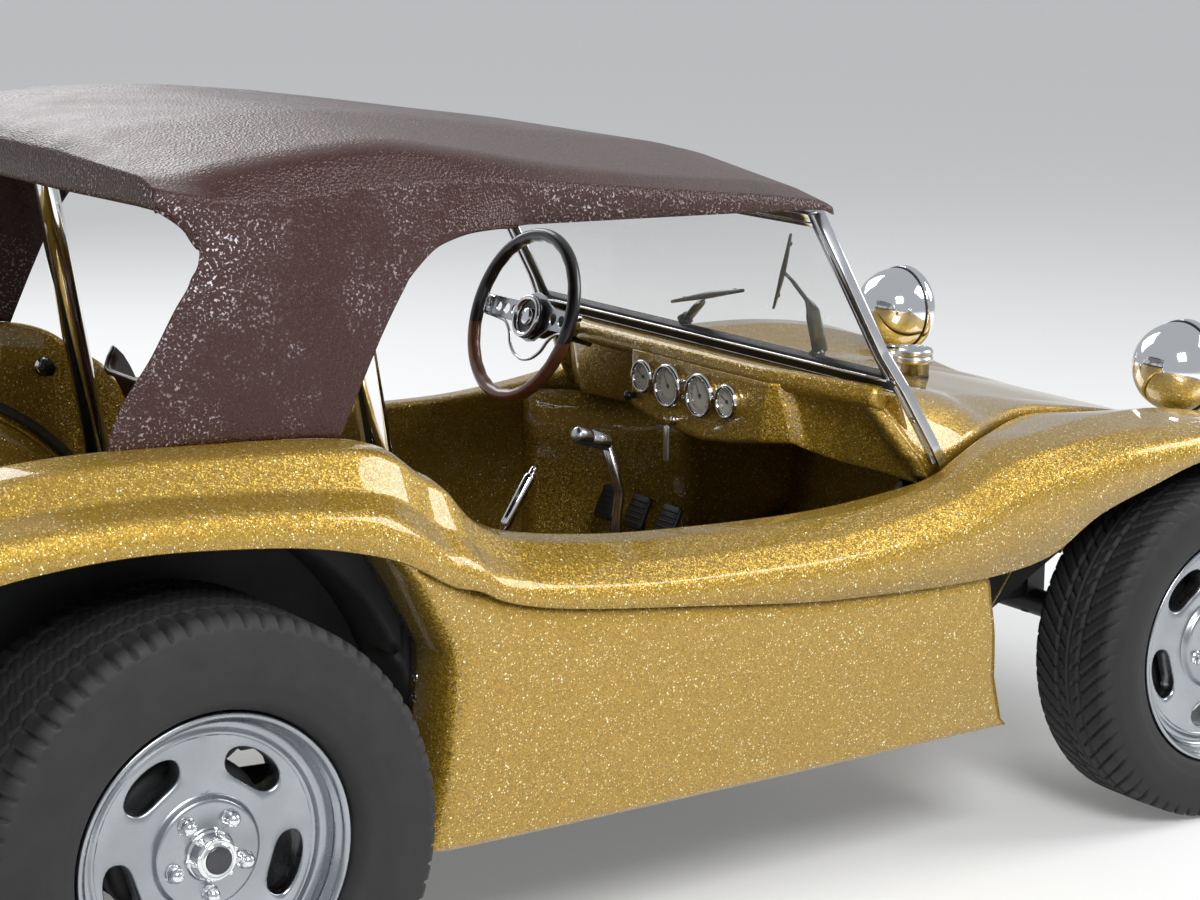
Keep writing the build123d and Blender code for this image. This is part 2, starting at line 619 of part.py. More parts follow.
KING_S = 545
KING_PIN_R = 10
KING_BODY_H = 116
EAR_T = 12
ARM_S = 420
RUNNING = 0.1
for name, side in (("right", -1), ("left", 1)):
    with BuildPart() as arms:
        for z in BEAM_Z:
            with BuildSketch(Plane.XZ.offset(-side * ARM_S)):
                with Locations((BEAM_X, z)):
                    Circle(BEAM_R)
                with BuildLine():
                    Polyline((BEAM_X, z - 26), (FRONT_X, z - 18 + (FRONT_TYRE_R - z) * 0.15),
                             (FRONT_X, z + 18 + (FRONT_TYRE_R - z) * 0.15), (BEAM_X, z + 26), close=True)
                make_face()
                with Locations((FRONT_X, z + (FRONT_TYRE_R - z) * 0.15)):
                    Circle(18)
            extrude(amount=10, both=True)
            with BuildSketch(Plane.XZ.offset(-side * BEAM_HALF)):
                with Locations((BEAM_X, z)):
                    Circle(18)
            extrude(amount=-side * (ARM_S - BEAM_HALF))
        ear_z = FRONT_TYRE_R + KING_BODY_H / 2
        with BuildSketch(Plane.XZ.offset(-side * (ARM_S + 10))):
            with Locations((FRONT_X, FRONT_TYRE_R)):
                Rectangle(36, KING_BODY_H + 2 * EAR_T)
        extrude(amount=-side * 40)
        for z in (ear_z, 2 * FRONT_TYRE_R - ear_z - EAR_T):
            with BuildSketch(Plane.XY.offset(z)):
                with Locations((FRONT_X, side * (ARM_S + KING_S) / 2)):
                    Rectangle(36, KING_S - ARM_S)
                with Locations((FRONT_X, side * KING_S)):
                    Circle(18)
                    Circle(KING_PIN_R + RUNNING, mode=Mode.SUBTRACT)
            extrude(amount=EAR_T)
    save(arms.part, f"trailing_arms_{name}")

    with BuildPart() as knuckle:
        with BuildSketch(Plane.XY.offset(FRONT_TYRE_R - KING_BODY_H / 2 + 0.5)):
            with Locations((FRONT_X, side * KING_S)):
                Circle(20)
        extrude(amount=KING_BODY_H - 1)
        with BuildSketch(Plane.XY.offset(FRONT_TYRE_R - KING_BODY_H / 2 - EAR_T)):
            with Locations((FRONT_X, side * KING_S)):
                Circle(KING_PIN_R)
        extrude(amount=KING_BODY_H + 2 * EAR_T)
        with BuildSketch(Plane.XZ.offset(-side * (KING_S + 20))):
            with Locations((FRONT_X, FRONT_TYRE_R)):
                Circle(118)
        extrude(amount=-side * 10)
        with BuildSketch(Plane.XZ.offset(-side * KING_S)):
            with Locations((FRONT_X, FRONT_TYRE_R)):
                Circle(30)
        extrude(amount=-side * 30)
        with BuildSketch(Plane.XZ.offset(-side * (KING_S + 20))):
            with Locations((FRONT_X, FRONT_TYRE_R)):
                Circle(STUB_R)
        extrude(amount=-side * (FRONT_HALF_TRACK + FRONT_RIM_WIDTH / 2 - RIM_INSET - 20 - KING_S - 20))
        with BuildSketch(Plane.XY.offset(FRONT_TYRE_R - 50)):
            with BuildLine():
                Polyline((FRONT_X - 12, side * KING_S), (FRONT_X - 150, side * (KING_S - 60)),
                         (FRONT_X - 150, side * (KING_S - 36)), (FRONT_X + 12, side * (KING_S + 10)),
                         close=True)
            make_face()
        extrude(amount=16)
    save(knuckle.part, f"knuckle_{name}")


# Wheels: slotted aluminium rims, five slots over five nuts, and round-shouldered tyres.
SLOTS = 5
SLOT_R = 118


def rim_and_tyre(name, x, side, half_track, width, tyre_r, tyre_width):
    centre = Plane((x, side * half_track, tyre_r), x_dir=(1, 0, 0), z_dir=(0, side, 0))
    half = width / 2
    face = half - RIM_INSET
    with BuildPart() as rim:
        with BuildSketch(Plane(centre.origin, x_dir=(1, 0, 0), z_dir=(0, 0, 1))):
            with BuildLine():
                Polyline((RIM_R, -half), (RIM_R, 12 - half), (RIM_R - 16, 16 - half),
                         (RIM_R - 22, half - 26), (RIM_R, half - 14), (RIM_R, half),
                         (RIM_R - 8, half), (RIM_R - 9, half - 12), (RIM_R - 30, half - 26),
                         (RIM_R - 24, 14 - half), (RIM_R - 8, 10 - half), (RIM_R - 8, -half),
                         close=True)
            make_face()
        revolve(axis=Axis(centre.origin, (0, 1, 0)))
        with BuildSketch(centre.offset(face - 12)):
            Circle(RIM_R - 20)
        extrude(amount=12)
        with BuildSketch(centre.offset(face)):
            Circle(78)
        extrude(amount=10)
        with BuildSketch(centre.offset(face)):
            Circle(36)
        extrude(amount=38, taper=8)
        with BuildSketch(centre.offset(face - 12)):
            Circle(HUB_R)
        extrude(amount=12 - HUB_DEPTH)
        with BuildSketch(centre.offset(face - HUB_DEPTH)):
            Circle(STUB_R + RUNNING)
        extrude(amount=HUB_DEPTH - 18, mode=Mode.SUBTRACT)
        with BuildSketch(centre.offset(face)):
            with PolarLocations(SLOT_R + 16, SLOTS, start_angle=270):
                SlotOverall(82, 42, rotation=90)
        extrude(amount=-14, mode=Mode.SUBTRACT)
        with BuildSketch(centre.offset(face + 10)):
            with PolarLocations(57, SLOTS, start_angle=270):
                Circle(12)
        extrude(amount=16)
    save(rim.part, f"rim_{name}")
    tread = tyre_width - 40
    with BuildPart() as tyre:
        with BuildSketch(Plane(centre.origin, x_dir=(1, 0, 0), z_dir=(0, 0, 1))):
            with BuildLine():
                side_r = RIM_R + (tyre_r - RIM_R) * 0.45
                seat = half - 14
                left = [(RIM_R + 0.5, -seat), (side_r, -tyre_width / 2), (tyre_r - 12, -tread / 2 - 6),
                        (tyre_r, 12 - tread / 2)]
                right = [(r, -w) for r, w in reversed(left)]
                Spline(left[0], left[1], left[2])
                Line(left[2], left[3])
                Line(left[3], right[0])
                Line(right[0], right[1])
                Spline(right[1], right[2], right[3])
                Line(right[3], left[0])
            make_face()
        revolve(axis=Axis(centre.origin, (0, 1, 0)))
    save(tyre.part, f"tyre_{name}")


rim_and_tyre("rear_right", REAR_X, -1, REAR_HALF_TRACK, REAR_RIM_WIDTH, REAR_TYRE_R, REAR_TYRE_WIDTH)
rim_and_tyre("rear_left", REAR_X, 1, REAR_HALF_TRACK, REAR_RIM_WIDTH, REAR_TYRE_R, REAR_TYRE_WIDTH)
rim_and_tyre("front_right", FRONT_X, -1, FRONT_HALF_TRACK, FRONT_RIM_WIDTH, FRONT_TYRE_R, FRONT_TYRE_WIDTH)
rim_and_tyre("front_left", FRONT_X, 1, FRONT_HALF_TRACK, FRONT_RIM_WIDTH, FRONT_TYRE_R, FRONT_TYRE_WIDTH)


# Steering: wheel with a flat three-hole spoke plate, and a straight column.
WHEEL_CENTRE = (rear(1220), 350, 835)
WHEEL_R = 156
COLUMN_DROP = 19
COLUMN_R = 24
SHAFT_R = 10
wheel_plane = Plane(WHEEL_CENTRE, x_dir=(0, -1, 0),
                    z_dir=(-cos(radians(COLUMN_DROP)), 0, sin(radians(COLUMN_DROP))))
with BuildPart() as steering_wheel:
    with BuildSketch(Plane(wheel_plane.origin, x_dir=wheel_plane.x_dir, z_dir=wheel_plane.y_dir)):
        with Locations((WHEEL_R, 0)):
            Circle(13)
    revolve(axis=Axis(wheel_plane.origin, wheel_plane.z_dir))
    with BuildSketch(wheel_plane.offset(-26)):
        Circle(48)
        with Locations((0, 6)):
            Rectangle(2 * WHEEL_R - 8, 44)
        with Locations((-62, 6), (-92, 6), (-122, 6), (62, 6), (92, 6), (122, 6)):
            Circle(10, mode=Mode.SUBTRACT)
    extrude(amount=4)
    with BuildSketch(wheel_plane.offset(-24)):
        with Locations((-WHEEL_R + 12, 6), (WHEEL_R - 12, 6)):
            Rectangle(14, 40)
    extrude(amount=24)
    with BuildSketch(wheel_plane.offset(-60)):
        Circle(34)
    extrude(amount=60)
    with BuildSketch(wheel_plane.offset(-60)):
        Circle(SHAFT_R + RUNNING)
    extrude(amount=34, mode=Mode.SUBTRACT)
save(steering_wheel.part, "steering_wheel")
with BuildPart() as steering_column:
    with BuildSketch(wheel_plane.offset(-66)):
        Circle(COLUMN_R)
    extrude(amount=-300)
    with BuildSketch(wheel_plane.offset(-66)):
        Circle(SHAFT_R)
    extrude(amount=38)
    with BuildSketch(wheel_plane.offset(-80)):
        with Locations((-70, 14)):
            Rectangle(100, 9)
    extrude(amount=-9)
save(steering_column.part, "steering_column")


# Gauges through the dash face, whose moulding also lets the column through.
GAUGES = [(54, 757, 27), (-24, 752, 36), (-121, 750, 36), (-201, 752, 27)]
with BuildPart() as gauges:
    for y, z, r in GAUGES:
        with BuildSketch(Plane((rear(1302), y, z), x_dir=(0, -1, 0), z_dir=(-1, 0, 0))):
            Circle(r)
        extrude(amount=22)
    with BuildSketch(Plane.YZ.offset(rear(1299))):
        with Locations((-70, 752)):
            RectangleRounded(300, 40, 10)
    extrude(amount=20)
save(gauges.part, "gauges")

with BuildPart() as dash_cut:
    add(dash_panel.part)
    add(gauges.part, mode=Mode.SUBTRACT)
    add(steering_column.part, mode=Mode.SUBTRACT)
    add(hood_cowl.part, mode=Mode.SUBTRACT)
save(dash_cut.part, "dash_panel")


# Seats: low-backed buckets.
SEAT_Y = 285
SEAT_HALF = 200
for name, side in (("right", -1), ("left", 1)):
    with BuildPart() as seat:
        with BuildSketch(Plane.XZ.offset(-side * SEAT_Y)):
            with BuildLine():
                FilletPolyline((rear(990), 300), (rear(990), 372), (rear(930), 402), (rear(600), 372),
                               (rear(462), 790), (rear(402), 800), (rear(392), 760), (rear(528), 494),
                               (rear(530), 300), close=True,
                               radius=[10, 20, 60, 60, 18, 20, 20, 30, 20])
            make_face()
        extrude(amount=SEAT_HALF, both=True)
        with BuildSketch(Plane.XY.offset(FLOOR_Z)):
            with Locations((rear(740), side * SEAT_Y)):
                Rectangle(340, 300)
        extrude(amount=62)
    save(seat.part, f"seat_{name}")


# Hand controls on the tunnel.
LEVER_FOOT = FLOOR_Z - 4 + TUNNEL_H
with BuildPart() as shifter:
    add(pipe([(rear(1196), 0, LEVER_FOOT), (rear(1196), 0, 520), (rear(1202), 0, 562),
              (rear(1172), 0, 656)], [30, 30], 9))
    with BuildSketch(Plane((rear(1140), 0, 668), x_dir=(0, 1, 0), z_dir=(0.954, 0, -0.3))):
        Circle(16)
    extrude(amount=38, both=True)
save(shifter.part, "shifter")
with BuildPart() as handbrake:
    add(pipe([(rear(846), 0, LEVER_FOOT - 6), (rear(1022), 0, 632)], [], 10))
    with BuildSketch(Plane.XY.offset(LEVER_FOOT - 40)):
        with Locations((rear(846), 0)):
            Rectangle(80, 80)
    extrude(amount=40, mode=Mode.SUBTRACT)
save(handbrake.part, "handbrake")
with BuildPart() as pedals:
    with BuildSketch(Plane.XZ.offset(-150)):
        with Locations((rear(1440), FLOOR_Z + 24)):
            Circle(10)
    extrude(amount=-240)
    for y in (170, 270, 370):
        add(pipe([(rear(1440), y, FLOOR_Z), (rear(1440), y, 440)], [], 8))
        with BuildSketch(Plane((rear(1436), y, 440), x_dir=(0, 1, 0), z_dir=(-0.9, 0, 0.44))):
            Rectangle(60, 70)
        extrude(amount=10)
save(pedals.part, "pedals")


# Rear frame: torsion tube and two fork horns.
TORSION_X = rear(400)
TORSION_Z = 320
TORSION_R = 52
ENGINE_FACE = rear(-131)
with BuildPart() as rear_frame:
    with BuildSketch(Plane.XZ.offset(-490)):
        with Locations((TORSION_X, TORSION_Z)):
            Circle(TORSION_R)
    extrude(amount=980)
    for side in (-1, 1):
        add(pipe([(TORSION_X, side * 120, TORSION_Z), (rear(260), side * HORN_S, HORN_Z),
                  (rear(-60), side * HORN_S, HORN_Z)], [60], HORN_R))
    with BuildSketch(Plane.YZ.offset(TORSION_X)):
        with Locations((0, FLOOR_Z - PAN_T + TUNNEL_H / 2)):
            Rectangle(TUNNEL_W, TUNNEL_H)
    extrude(amount=HEEL_X - 6 - TORSION_X)
save(rear_frame.part, "rear_frame")

AXLE_START_S = 140
with BuildPart() as transaxle:
    with BuildSketch(Plane.YZ.offset(TORSION_X - TORSION_R)):
        with Locations((0, REAR_TYRE_R)):
            Circle(60)
    with BuildSketch(Plane.YZ.offset(rear(90))):
        with Locations((0, REAR_TYRE_R)):
            Circle(95)
    with BuildSketch(Plane.YZ.offset(rear(-60))):
        with Locations((0, REAR_TYRE_R)):
            Circle(125)
    with BuildSketch(Plane.YZ.offset(ENGINE_FACE)):
        with Locations((0, REAR_TYRE_R)):
            Circle(130)
    loft(ruled=True)
    with BuildSketch(Plane.XZ.offset(-AXLE_START_S)):
        with Locations((REAR_X, REAR_TYRE_R)):
            Circle(62)
    extrude(amount=2 * AXLE_START_S)
save(transaxle.part, "transaxle")

rear_face = REAR_HALF_TRACK + REAR_RIM_WIDTH / 2 - RIM_INSET
for name, side in (("right", -1), ("left", 1)):
    with BuildPart() as axle:
        with BuildSketch(Plane.XZ.offset(-side * AXLE_START_S)):
            with Locations((REAR_X, REAR_TYRE_R)):
                Circle(34)
        extrude(amount=-side * (520 - AXLE_START_S))
        with BuildSketch(Plane.XZ.offset(-side * 500)):
            with Locations((REAR_X, REAR_TYRE_R)):
                Circle(60)
        extrude(amount=-side * 40)
        with BuildSketch(Plane.XZ.offset(-side * 540)):
            with Locations((REAR_X, REAR_TYRE_R)):
                Circle(122)
        extrude(amount=-side * 46)
        with BuildSketch(Plane.XZ.offset(-side * 490)):
            with BuildLine():
                Polyline((TORSION_X + 40, TORSION_Z - 34), (REAR_X - 20, REAR_TYRE_R - 30),
                         (REAR_X - 20, REAR_TYRE_R + 30), (TORSION_X + 40, TORSION_Z + 34), close=True)
            make_face()
        extrude(amount=-side * 8)
        with BuildSketch(Plane.XZ.offset(-side * 586)):
            with Locations((REAR_X, REAR_TYRE_R)):
                Circle(48)
        extrude(amount=-side * (rear_face - HUB_DEPTH - 5 - 586))
        with BuildSketch(Plane.XZ.offset(-side * 586)):
            with Locations((REAR_X, REAR_TYRE_R)):
                Circle(STUB_R)
        extrude(amount=-side * (rear_face - 20 - 586))
    save(axle.part, f"rear_axle_{name}")


# Open air-cooled engine: case, finned cylinders, heads and rocker covers.
ENGINE_Z = REAR_TYRE_R
CASE_TOP = ENGINE_Z + 110
TIN_Z = ENGINE_Z + 62
CYLINDERS = (rear(-225), rear(-350))
with BuildPart() as engine:
    with BuildSketch(Plane.YZ.offset(ENGINE_FACE)):
        with Locations((0, ENGINE_Z - 10)):
            RectangleRounded(250, 240, 40)
    extrude(amount=-350)
    for side in (-1, 1):
        for x in CYLINDERS:
            with BuildSketch(Plane.XZ.offset(-side * 110)):
                with Locations((x, ENGINE_Z)):
                    Circle(46)
            extrude(amount=-side * 160)
            for s in range(136, 256, 16):
                with BuildSketch(Plane.XZ.offset(-side * s)):
                    with Locations((x, ENGINE_Z)):
                        Circle(58)
                extrude(amount=-side * 6)
        with BuildSketch(Plane.XZ.offset(-side * 262)):
            with Locations(((CYLINDERS[0] + CYLINDERS[1]) / 2, ENGINE_Z)):
                RectangleRounded(280, 120, 16)
        extrude(amount=-side * 66)
        with BuildSketch(Plane.XZ.offset(-side * 328)):
            with Locations(((CYLINDERS[0] + CYLINDERS[1]) / 2, ENGINE_Z - 8)):
                RectangleRounded(270, 86, 20)
        extrude(amount=-side * 42)
save(engine.part, "engine_block")

SHROUD_X = rear(-330)
with BuildPart() as fan_shroud:
    with BuildSketch(Plane.YZ.offset(SHROUD_X)):
        with BuildLine():
            FilletPolyline((-340, TIN_Z), (-340, 600), (-190, 790), (190, 790), (340, 600),
                           (340, TIN_Z), (127, TIN_Z), (127, CASE_TOP), (-127, CASE_TOP), (-127, TIN_Z),
                           close=True, radius=[0, 60, 120, 120, 60, 0, 0, 0, 0, 0])
        make_face()
    extrude(amount=-70)
    with BuildSketch(Plane.YZ.offset(SHROUD_X - 70)):
        with Locations((0, 600)):
            Circle(52)
    extrude(amount=-190)
    with BuildSketch(Plane.YZ.offset(SHROUD_X - 230)):
        with Locations((0, 600)):
            Circle(70)
    extrude(amount=-18)
save(fan_shroud.part, "fan_shroud")
with BuildPart() as crank_pulley:
    with BuildSketch(Plane.YZ.offset(ENGINE_FACE - 350)):
        with Locations((0, ENGINE_Z)):
            Circle(30)
    extrude(amount=-20)
    with BuildSketch(Plane.YZ.offset(ENGINE_FACE - 370)):
        with Locations((0, ENGINE_Z)):
            Circle(88)
    extrude(amount=-20)
save(crank_pulley.part, "crank_pulley")
with BuildPart() as carburettor:
    with BuildSketch(Plane.XY.offset(CASE_TOP)):
        with Locations((rear(-450), -80)):
            Circle(25)
    extrude(amount=66)
    with BuildSketch(Plane.XY.offset(CASE_TOP + 66)):
        with Locations((rear(-455), -110)):
            Circle(30)
    extrude(amount=150)
    with BuildSketch(Plane.XY.offset(670)):
        with Locations((rear(-485), -110)):
            Circle(80)
    extrude(amount=70)
save(carburettor.part, "carburettor")

with BuildPart() as exhaust:
    for side in (-1, 1):
        add(pipe([(CYLINDERS[0], side * 300, ENGINE_Z - 60), (CYLINDERS[0], side * 300, 230),
                  (rear(-640), side * 300, 230), (rear(-640), side * 300, 290)], [38, 28], 20))
    with BuildSketch(Plane.XZ.offset(-335)):
        with Locations((rear(-640), 300)):
            Circle(55)
    extrude(amount=670)
    for side in (-1, 1):
        add(pipe([(rear(-640), side * 120, 300), (rear(-REAR_OVERHANG), side * 120, 300)], [], 20))
save(exhaust.part, "exhaust")

with BuildPart() as rear_bumper:
    half = [(rear(-60), HORN_Z), (rear(-80), HORN_Z), (rear(-130), 205), (rear(-730), 205),
            (rear(-730), 520)]
    add(pipe([(x, -HORN_S, z) for x, z in half] + [(x, HORN_S, z) for x, z in reversed(half)],
             [20, 40, 60, 60, 60, 60, 40, 20], 17))
save(rear_bumper.part, "rear_bumper")

for name, side in (("right", -1), ("left", 1)):
    with BuildPart() as lamp:
        with BuildSketch(Plane((rear(-520), side * 640, 585), x_dir=(0, 1, 0), z_dir=(-1, 0, 0))):
            RectangleRounded(110, 60, 20)
        extrude(amount=42)
    save(lamp.part, f"tail_lamp_{name}")
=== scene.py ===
from math import atan2, cos, pi, radians, sin

import bmesh
import bpy
import numpy as np
from mathutils import Matrix, Vector


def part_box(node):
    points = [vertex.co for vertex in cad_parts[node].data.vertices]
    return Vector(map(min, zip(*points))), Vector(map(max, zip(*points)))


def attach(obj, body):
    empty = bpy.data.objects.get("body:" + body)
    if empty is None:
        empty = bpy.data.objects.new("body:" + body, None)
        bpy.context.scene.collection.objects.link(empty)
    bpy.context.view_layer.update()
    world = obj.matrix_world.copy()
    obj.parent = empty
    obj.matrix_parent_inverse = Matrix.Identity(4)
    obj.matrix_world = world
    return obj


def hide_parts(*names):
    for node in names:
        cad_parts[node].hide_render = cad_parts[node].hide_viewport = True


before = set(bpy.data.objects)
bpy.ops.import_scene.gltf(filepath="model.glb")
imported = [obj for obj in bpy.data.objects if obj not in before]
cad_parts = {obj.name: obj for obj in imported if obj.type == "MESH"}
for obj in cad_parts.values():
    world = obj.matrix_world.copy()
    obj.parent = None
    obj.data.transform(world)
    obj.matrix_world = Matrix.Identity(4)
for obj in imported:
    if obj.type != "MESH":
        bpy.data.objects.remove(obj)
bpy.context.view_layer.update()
scene = bpy.context.scene
scene.view_settings.view_transform = "Standard"


# Camera: stands behind the car's right rear corner at a grown person's raised arm, with a
# lens of 86 mm on a full frame, and looks slightly down across the cabin.
CAMERA_AT = (-2.53736, -4.12116, 1.70940)
CAMERA_RIGHT = (0.826707, -0.562602, 0.005889)
CAMERA_DOWN = (-0.112634, -0.175744, -0.977971)
CAMERA_AHEAD = (0.551243, 0.807832, -0.208657)
camera = bpy.data.objects.new("camera", bpy.data.cameras.new("camera"))
camera.data.lens = 85.644
camera.data.sensor_width = 36
camera.data.clip_start = 0.1
camera.matrix_world = Matrix([
    (CAMERA_RIGHT[i], -CAMERA_DOWN[i], -CAMERA_AHEAD[i], CAMERA_AT[i]) for i in range(3)
] + [(0, 0, 0, 1)])
scene.collection.objects.link(camera)
scene.camera = camera


# Floor and light: a pale plain floor that runs on past the view, one broad soft lamp to the
# left behind the camera for the sun's side, and a softer one opposite.
def feed(node, inputs):
    """Each input gets a value, or a link where an output is given."""
    for key, value in inputs.items():
        if isinstance(value, bpy.types.NodeSocket):
            node.id_data.links.new(value, node.inputs[key])
        else:
            node.inputs[key].default_value = value


def add(tree, kind, inputs=(), **settings):
    """A shader node with its settings and inputs."""
    node = tree.nodes.new("ShaderNode" + kind)
    for key, value in settings.items():
        setattr(node, key, value)
    feed(node, dict(inputs))
    return node


def calc(tree, operation, *values):
    """The output of a Math node."""
    return add(tree, "Math", dict(enumerate(values)), operation=operation).outputs[0]


def vector(tree, operation, **inputs):
    """The output of a Vector Math node; a and b stand for its first two inputs."""
    names = {"a": 0, "b": 1}
    return add(tree, "VectorMath", {names.get(k, k): v for k, v in inputs.items()},
               operation=operation).outputs[0]


def scaled(tree, value, low, high, start=0.0, end=1.0):
    """A value's range from start to end, mapped to low to high."""
    return add(tree, "MapRange", {"Value": value, "From Min": start, "From Max": end,
                                  "To Min": low, "To Max": high}).outputs[0]


def blend(tree, share, first, second):
    """The output of a colour mix."""
    return add(tree, "Mix", {"Factor": share, "A": first, "B": second}, data_type="RGBA").outputs["Result"]


def cloud(tree, size, detail, **more):
    """A noise in the object's own coordinates."""
    place = add(tree, "TexCoord").outputs["Object"]
    return add(tree, "TexNoise", {"Vector": place, "Scale": size, "Detail": detail, **more}).outputs["Fac"]


def shader(name, slot, **sockets):
    """A material, its tree and its Principled BSDF with the given sockets; _ stands for a
    space. The slot argument is not used."""
    made = bpy.data.materials.new(name)
    made.use_nodes = True
    bsdf = made.node_tree.nodes["Principled BSDF"]
    feed(bsdf, {key.replace("_", " "): value for key, value in sockets.items()})
    return made, made.node_tree, bsdf


def group_of(name, inputs, outputs):
    """A node group with these sockets, and its input and output nodes."""
    group = bpy.data.node_groups.new(name, "ShaderNodeTree")
    for label, kind, value in inputs:
        made = group.interface.new_socket(label, in_out="INPUT", socket_type="NodeSocket" + kind)
        made.default_value = value
    for label, kind in outputs:
        group.interface.new_socket(label, in_out="OUTPUT", socket_type="NodeSocket" + kind)
    return group, group.nodes.new("NodeGroupInput").outputs, group.nodes.new("NodeGroupOutput")


PALE = (0.80, 0.80, 0.79, 1)
floor_mesh = bpy.data.meshes.new("floor")
floor_mesh.from_pydata([(-40, -40, 0), (40, -40, 0), (40, 40, 0), (-40, 40, 0)], [], [(0, 1, 2, 3)])
floor = bpy.data.objects.new("floor", floor_mesh)
scene.collection.objects.link(floor)
floor_mesh.materials.append(shader(
    "pale floor", "", Base_Color=(0.70, 0.70, 0.69, 1), Roughness=0.85, Emission_Color=(1, 1, 0.99, 1),
    Emission_Strength=0.16)[0])

world = bpy.data.worlds.new("studio")
scene.world = world
world.use_nodes = True
tree = world.node_tree
path = add(tree, "LightPath").outputs
seen = calc(tree, "MAXIMUM", path["Is Camera Ray"], path["Is Transmission Ray"])
sky = add(tree, "Background", {"Color": (0.82, 0.85, 0.90, 1), "Strength": 0.55})
backdrop = add(tree, "Background", {"Color": PALE, "Strength": 1.0})
mix = add(tree, "MixShader", {"Fac": seen, 1: sky.outputs[0], 2: backdrop.outputs[0]})
feed(tree.nodes["World Output"], {"Surface": mix.outputs[0]})


def lamp(name, at, aim, size, power):
    """A square soft lamp at a point that shines towards another."""
    light = bpy.data.lights.new(name, "AREA")
    light.size = size
    light.energy = power
    made = bpy.data.objects.new(name, light)
    made.location = at
    made.rotation_euler = (Vector(aim) - Vector(at)).to_track_quat("-Z", "Y").to_euler()
    scene.collection.objects.link(made)


lamp("key light", (-1.6, -5.0, 4.6), (0.1, 0, 0.5), 2.2, 330)
lamp("front light", (5.0, -2.2, 3.6), (0.3, 0, 0.5), 3.0, 190)
lamp("back light", (0.5, 5.5, 4.2), (0, 0, 0.6), 3.5, 150)


# Body skin: gold metal flake fibreglass, one moulding from the rear fender lips over the
# cabin sides to the nose. Each row is a cross-section: x, then the inner flange s, wall s, foot z
# and rail z, then s and z of the top, step, shoulder and lip; s is the distance from the middle.
REAR_X, FRONT_X = -883.5, 1148.5
REAR_TYRE_R, FRONT_TYRE_R = 346, 314
SHELL_WALL = 6
HOUSE_R = 440
SIDE_ROWS = np.array([
    (REAR_X - 520, 500, 545, 560, 640, 610, 634, 656, 606, 704, 588, 718, 530),
    (REAR_X - 430, 480, 574, 500, 812, 636, 802, 684, 762, 734, 746, 754, 690),
    (REAR_X - 300, 460, 588, 470, 884, 648, 872, 692, 834, 744, 820, 767, 772),
    (REAR_X - 120, 460, 590, 470, 895, 650, 884, 694, 842, 748, 828, 772, 786),
    (REAR_X + 110, 460, 590, 470, 886, 650, 874, 692, 828, 746, 812, 768, 768),
    (REAR_X + 300, 460, 590, 440, 872, 646, 860, 684, 806, 734, 778, 752, 722),
    (REAR_X + 390, 500, 585, 250, 842, 636, 830, 672, 764, 720, 724, 738, 676),
    (REAR_X + 470, 510, 574, 246, 764, 624, 752, 664, 702, 708, 672, 722, 636),
    (REAR_X + 580, 510, 566, 246, 694, 616, 684, 660, 658, 700, 634, 714, 602),
    (REAR_X + 860, 510, 565, 246, 656, 616, 650, 662, 628, 698, 600, 709, 562),
    (REAR_X + 1150, 510, 565, 246, 646, 616, 642, 662, 620, 696, 588, 707, 530),
    (FRONT_X - 602, 510, 565, 246, 666, 612, 668, 656, 650, 692, 612, 705, 520),
    (FRONT_X - 522, 432, 550, 560, 694, 602, 698, 652, 682, 692, 640, 704, 524),
    (FRONT_X - 432, 350, 520, 640, 716, 592, 718, 650, 706, 696, 662, 706, 540),
    (FRONT_X - 342, 344, 450, 652, 706, 580, 724, 652, 714, 702, 678, 712, 596),
    (FRONT_X - 222, 336, 390, 652, 706, 560, 730, 652, 722, 710, 698, 718, 634),
    (FRONT_X - 88, 328, 355, 636, 688, 545, 728, 652, 720, 714, 704, 722, 668),
    (FRONT_X + 48, 300, 330, 612, 664, 530, 710, 650, 708, 716, 700, 724, 672),
    (FRONT_X + 158, 290, 315, 588, 640, 505, 682, 640, 688, 712, 678, 722, 648),
    (FRONT_X + 268, 280, 300, 560, 612, 480, 642, 620, 650, 696, 634, 706, 600),
    (FRONT_X + 368, 265, 285, 526, 578, 440, 590, 575, 594, 640, 576, 650, 540),
    (FRONT_X + 448, 250, 270, 478, 524, 380, 526, 470, 526, 520, 510, 530, 476),
])


def curve_of(rows, x):
    """Every column of a table at each x: cubic pieces whose slope at a row is the harmonic
    mean of the slopes beside it, or nought where those differ in sign."""
    xs, ys = rows[:, 0], rows[:, 1:]
    rise = np.diff(ys, axis=0) / np.diff(xs)[:, None]
    before, after = rise[:-1], rise[1:]
    both = before * after
    inner = np.where(both > 0, 2 * both / np.where(both > 0, before + after, 1), 0)
    slope = np.vstack([rise[:1], inner, rise[-1:]])
    i = np.clip(np.searchsorted(xs, x, side="right") - 1, 0, len(xs) - 2)
    step = np.diff(xs)[i][:, None]
    t = ((x - xs[i])[:, None]) / step
    return ((1 + 2 * t) * (1 - t) ** 2 * ys[i] + t * t * (3 - 2 * t) * ys[i + 1]
            + step * (t * (1 - t) ** 2 * slope[i] - t * t * (1 - t) * slope[i + 1]))


def eased(x, values, reach):
    """Values along x averaged with their neighbours by a bell curve, less so at both ends."""
    weight = np.exp(-((x[:, None] - x[None]) / reach) ** 2 / 2)
    soft = weight @ values / weight.sum(1)[:, None]
    end = np.clip(np.minimum(x - x[0], x[-1] - x) / (3 * reach), 0, 1)[:, None]
    return values + (soft - values) * end


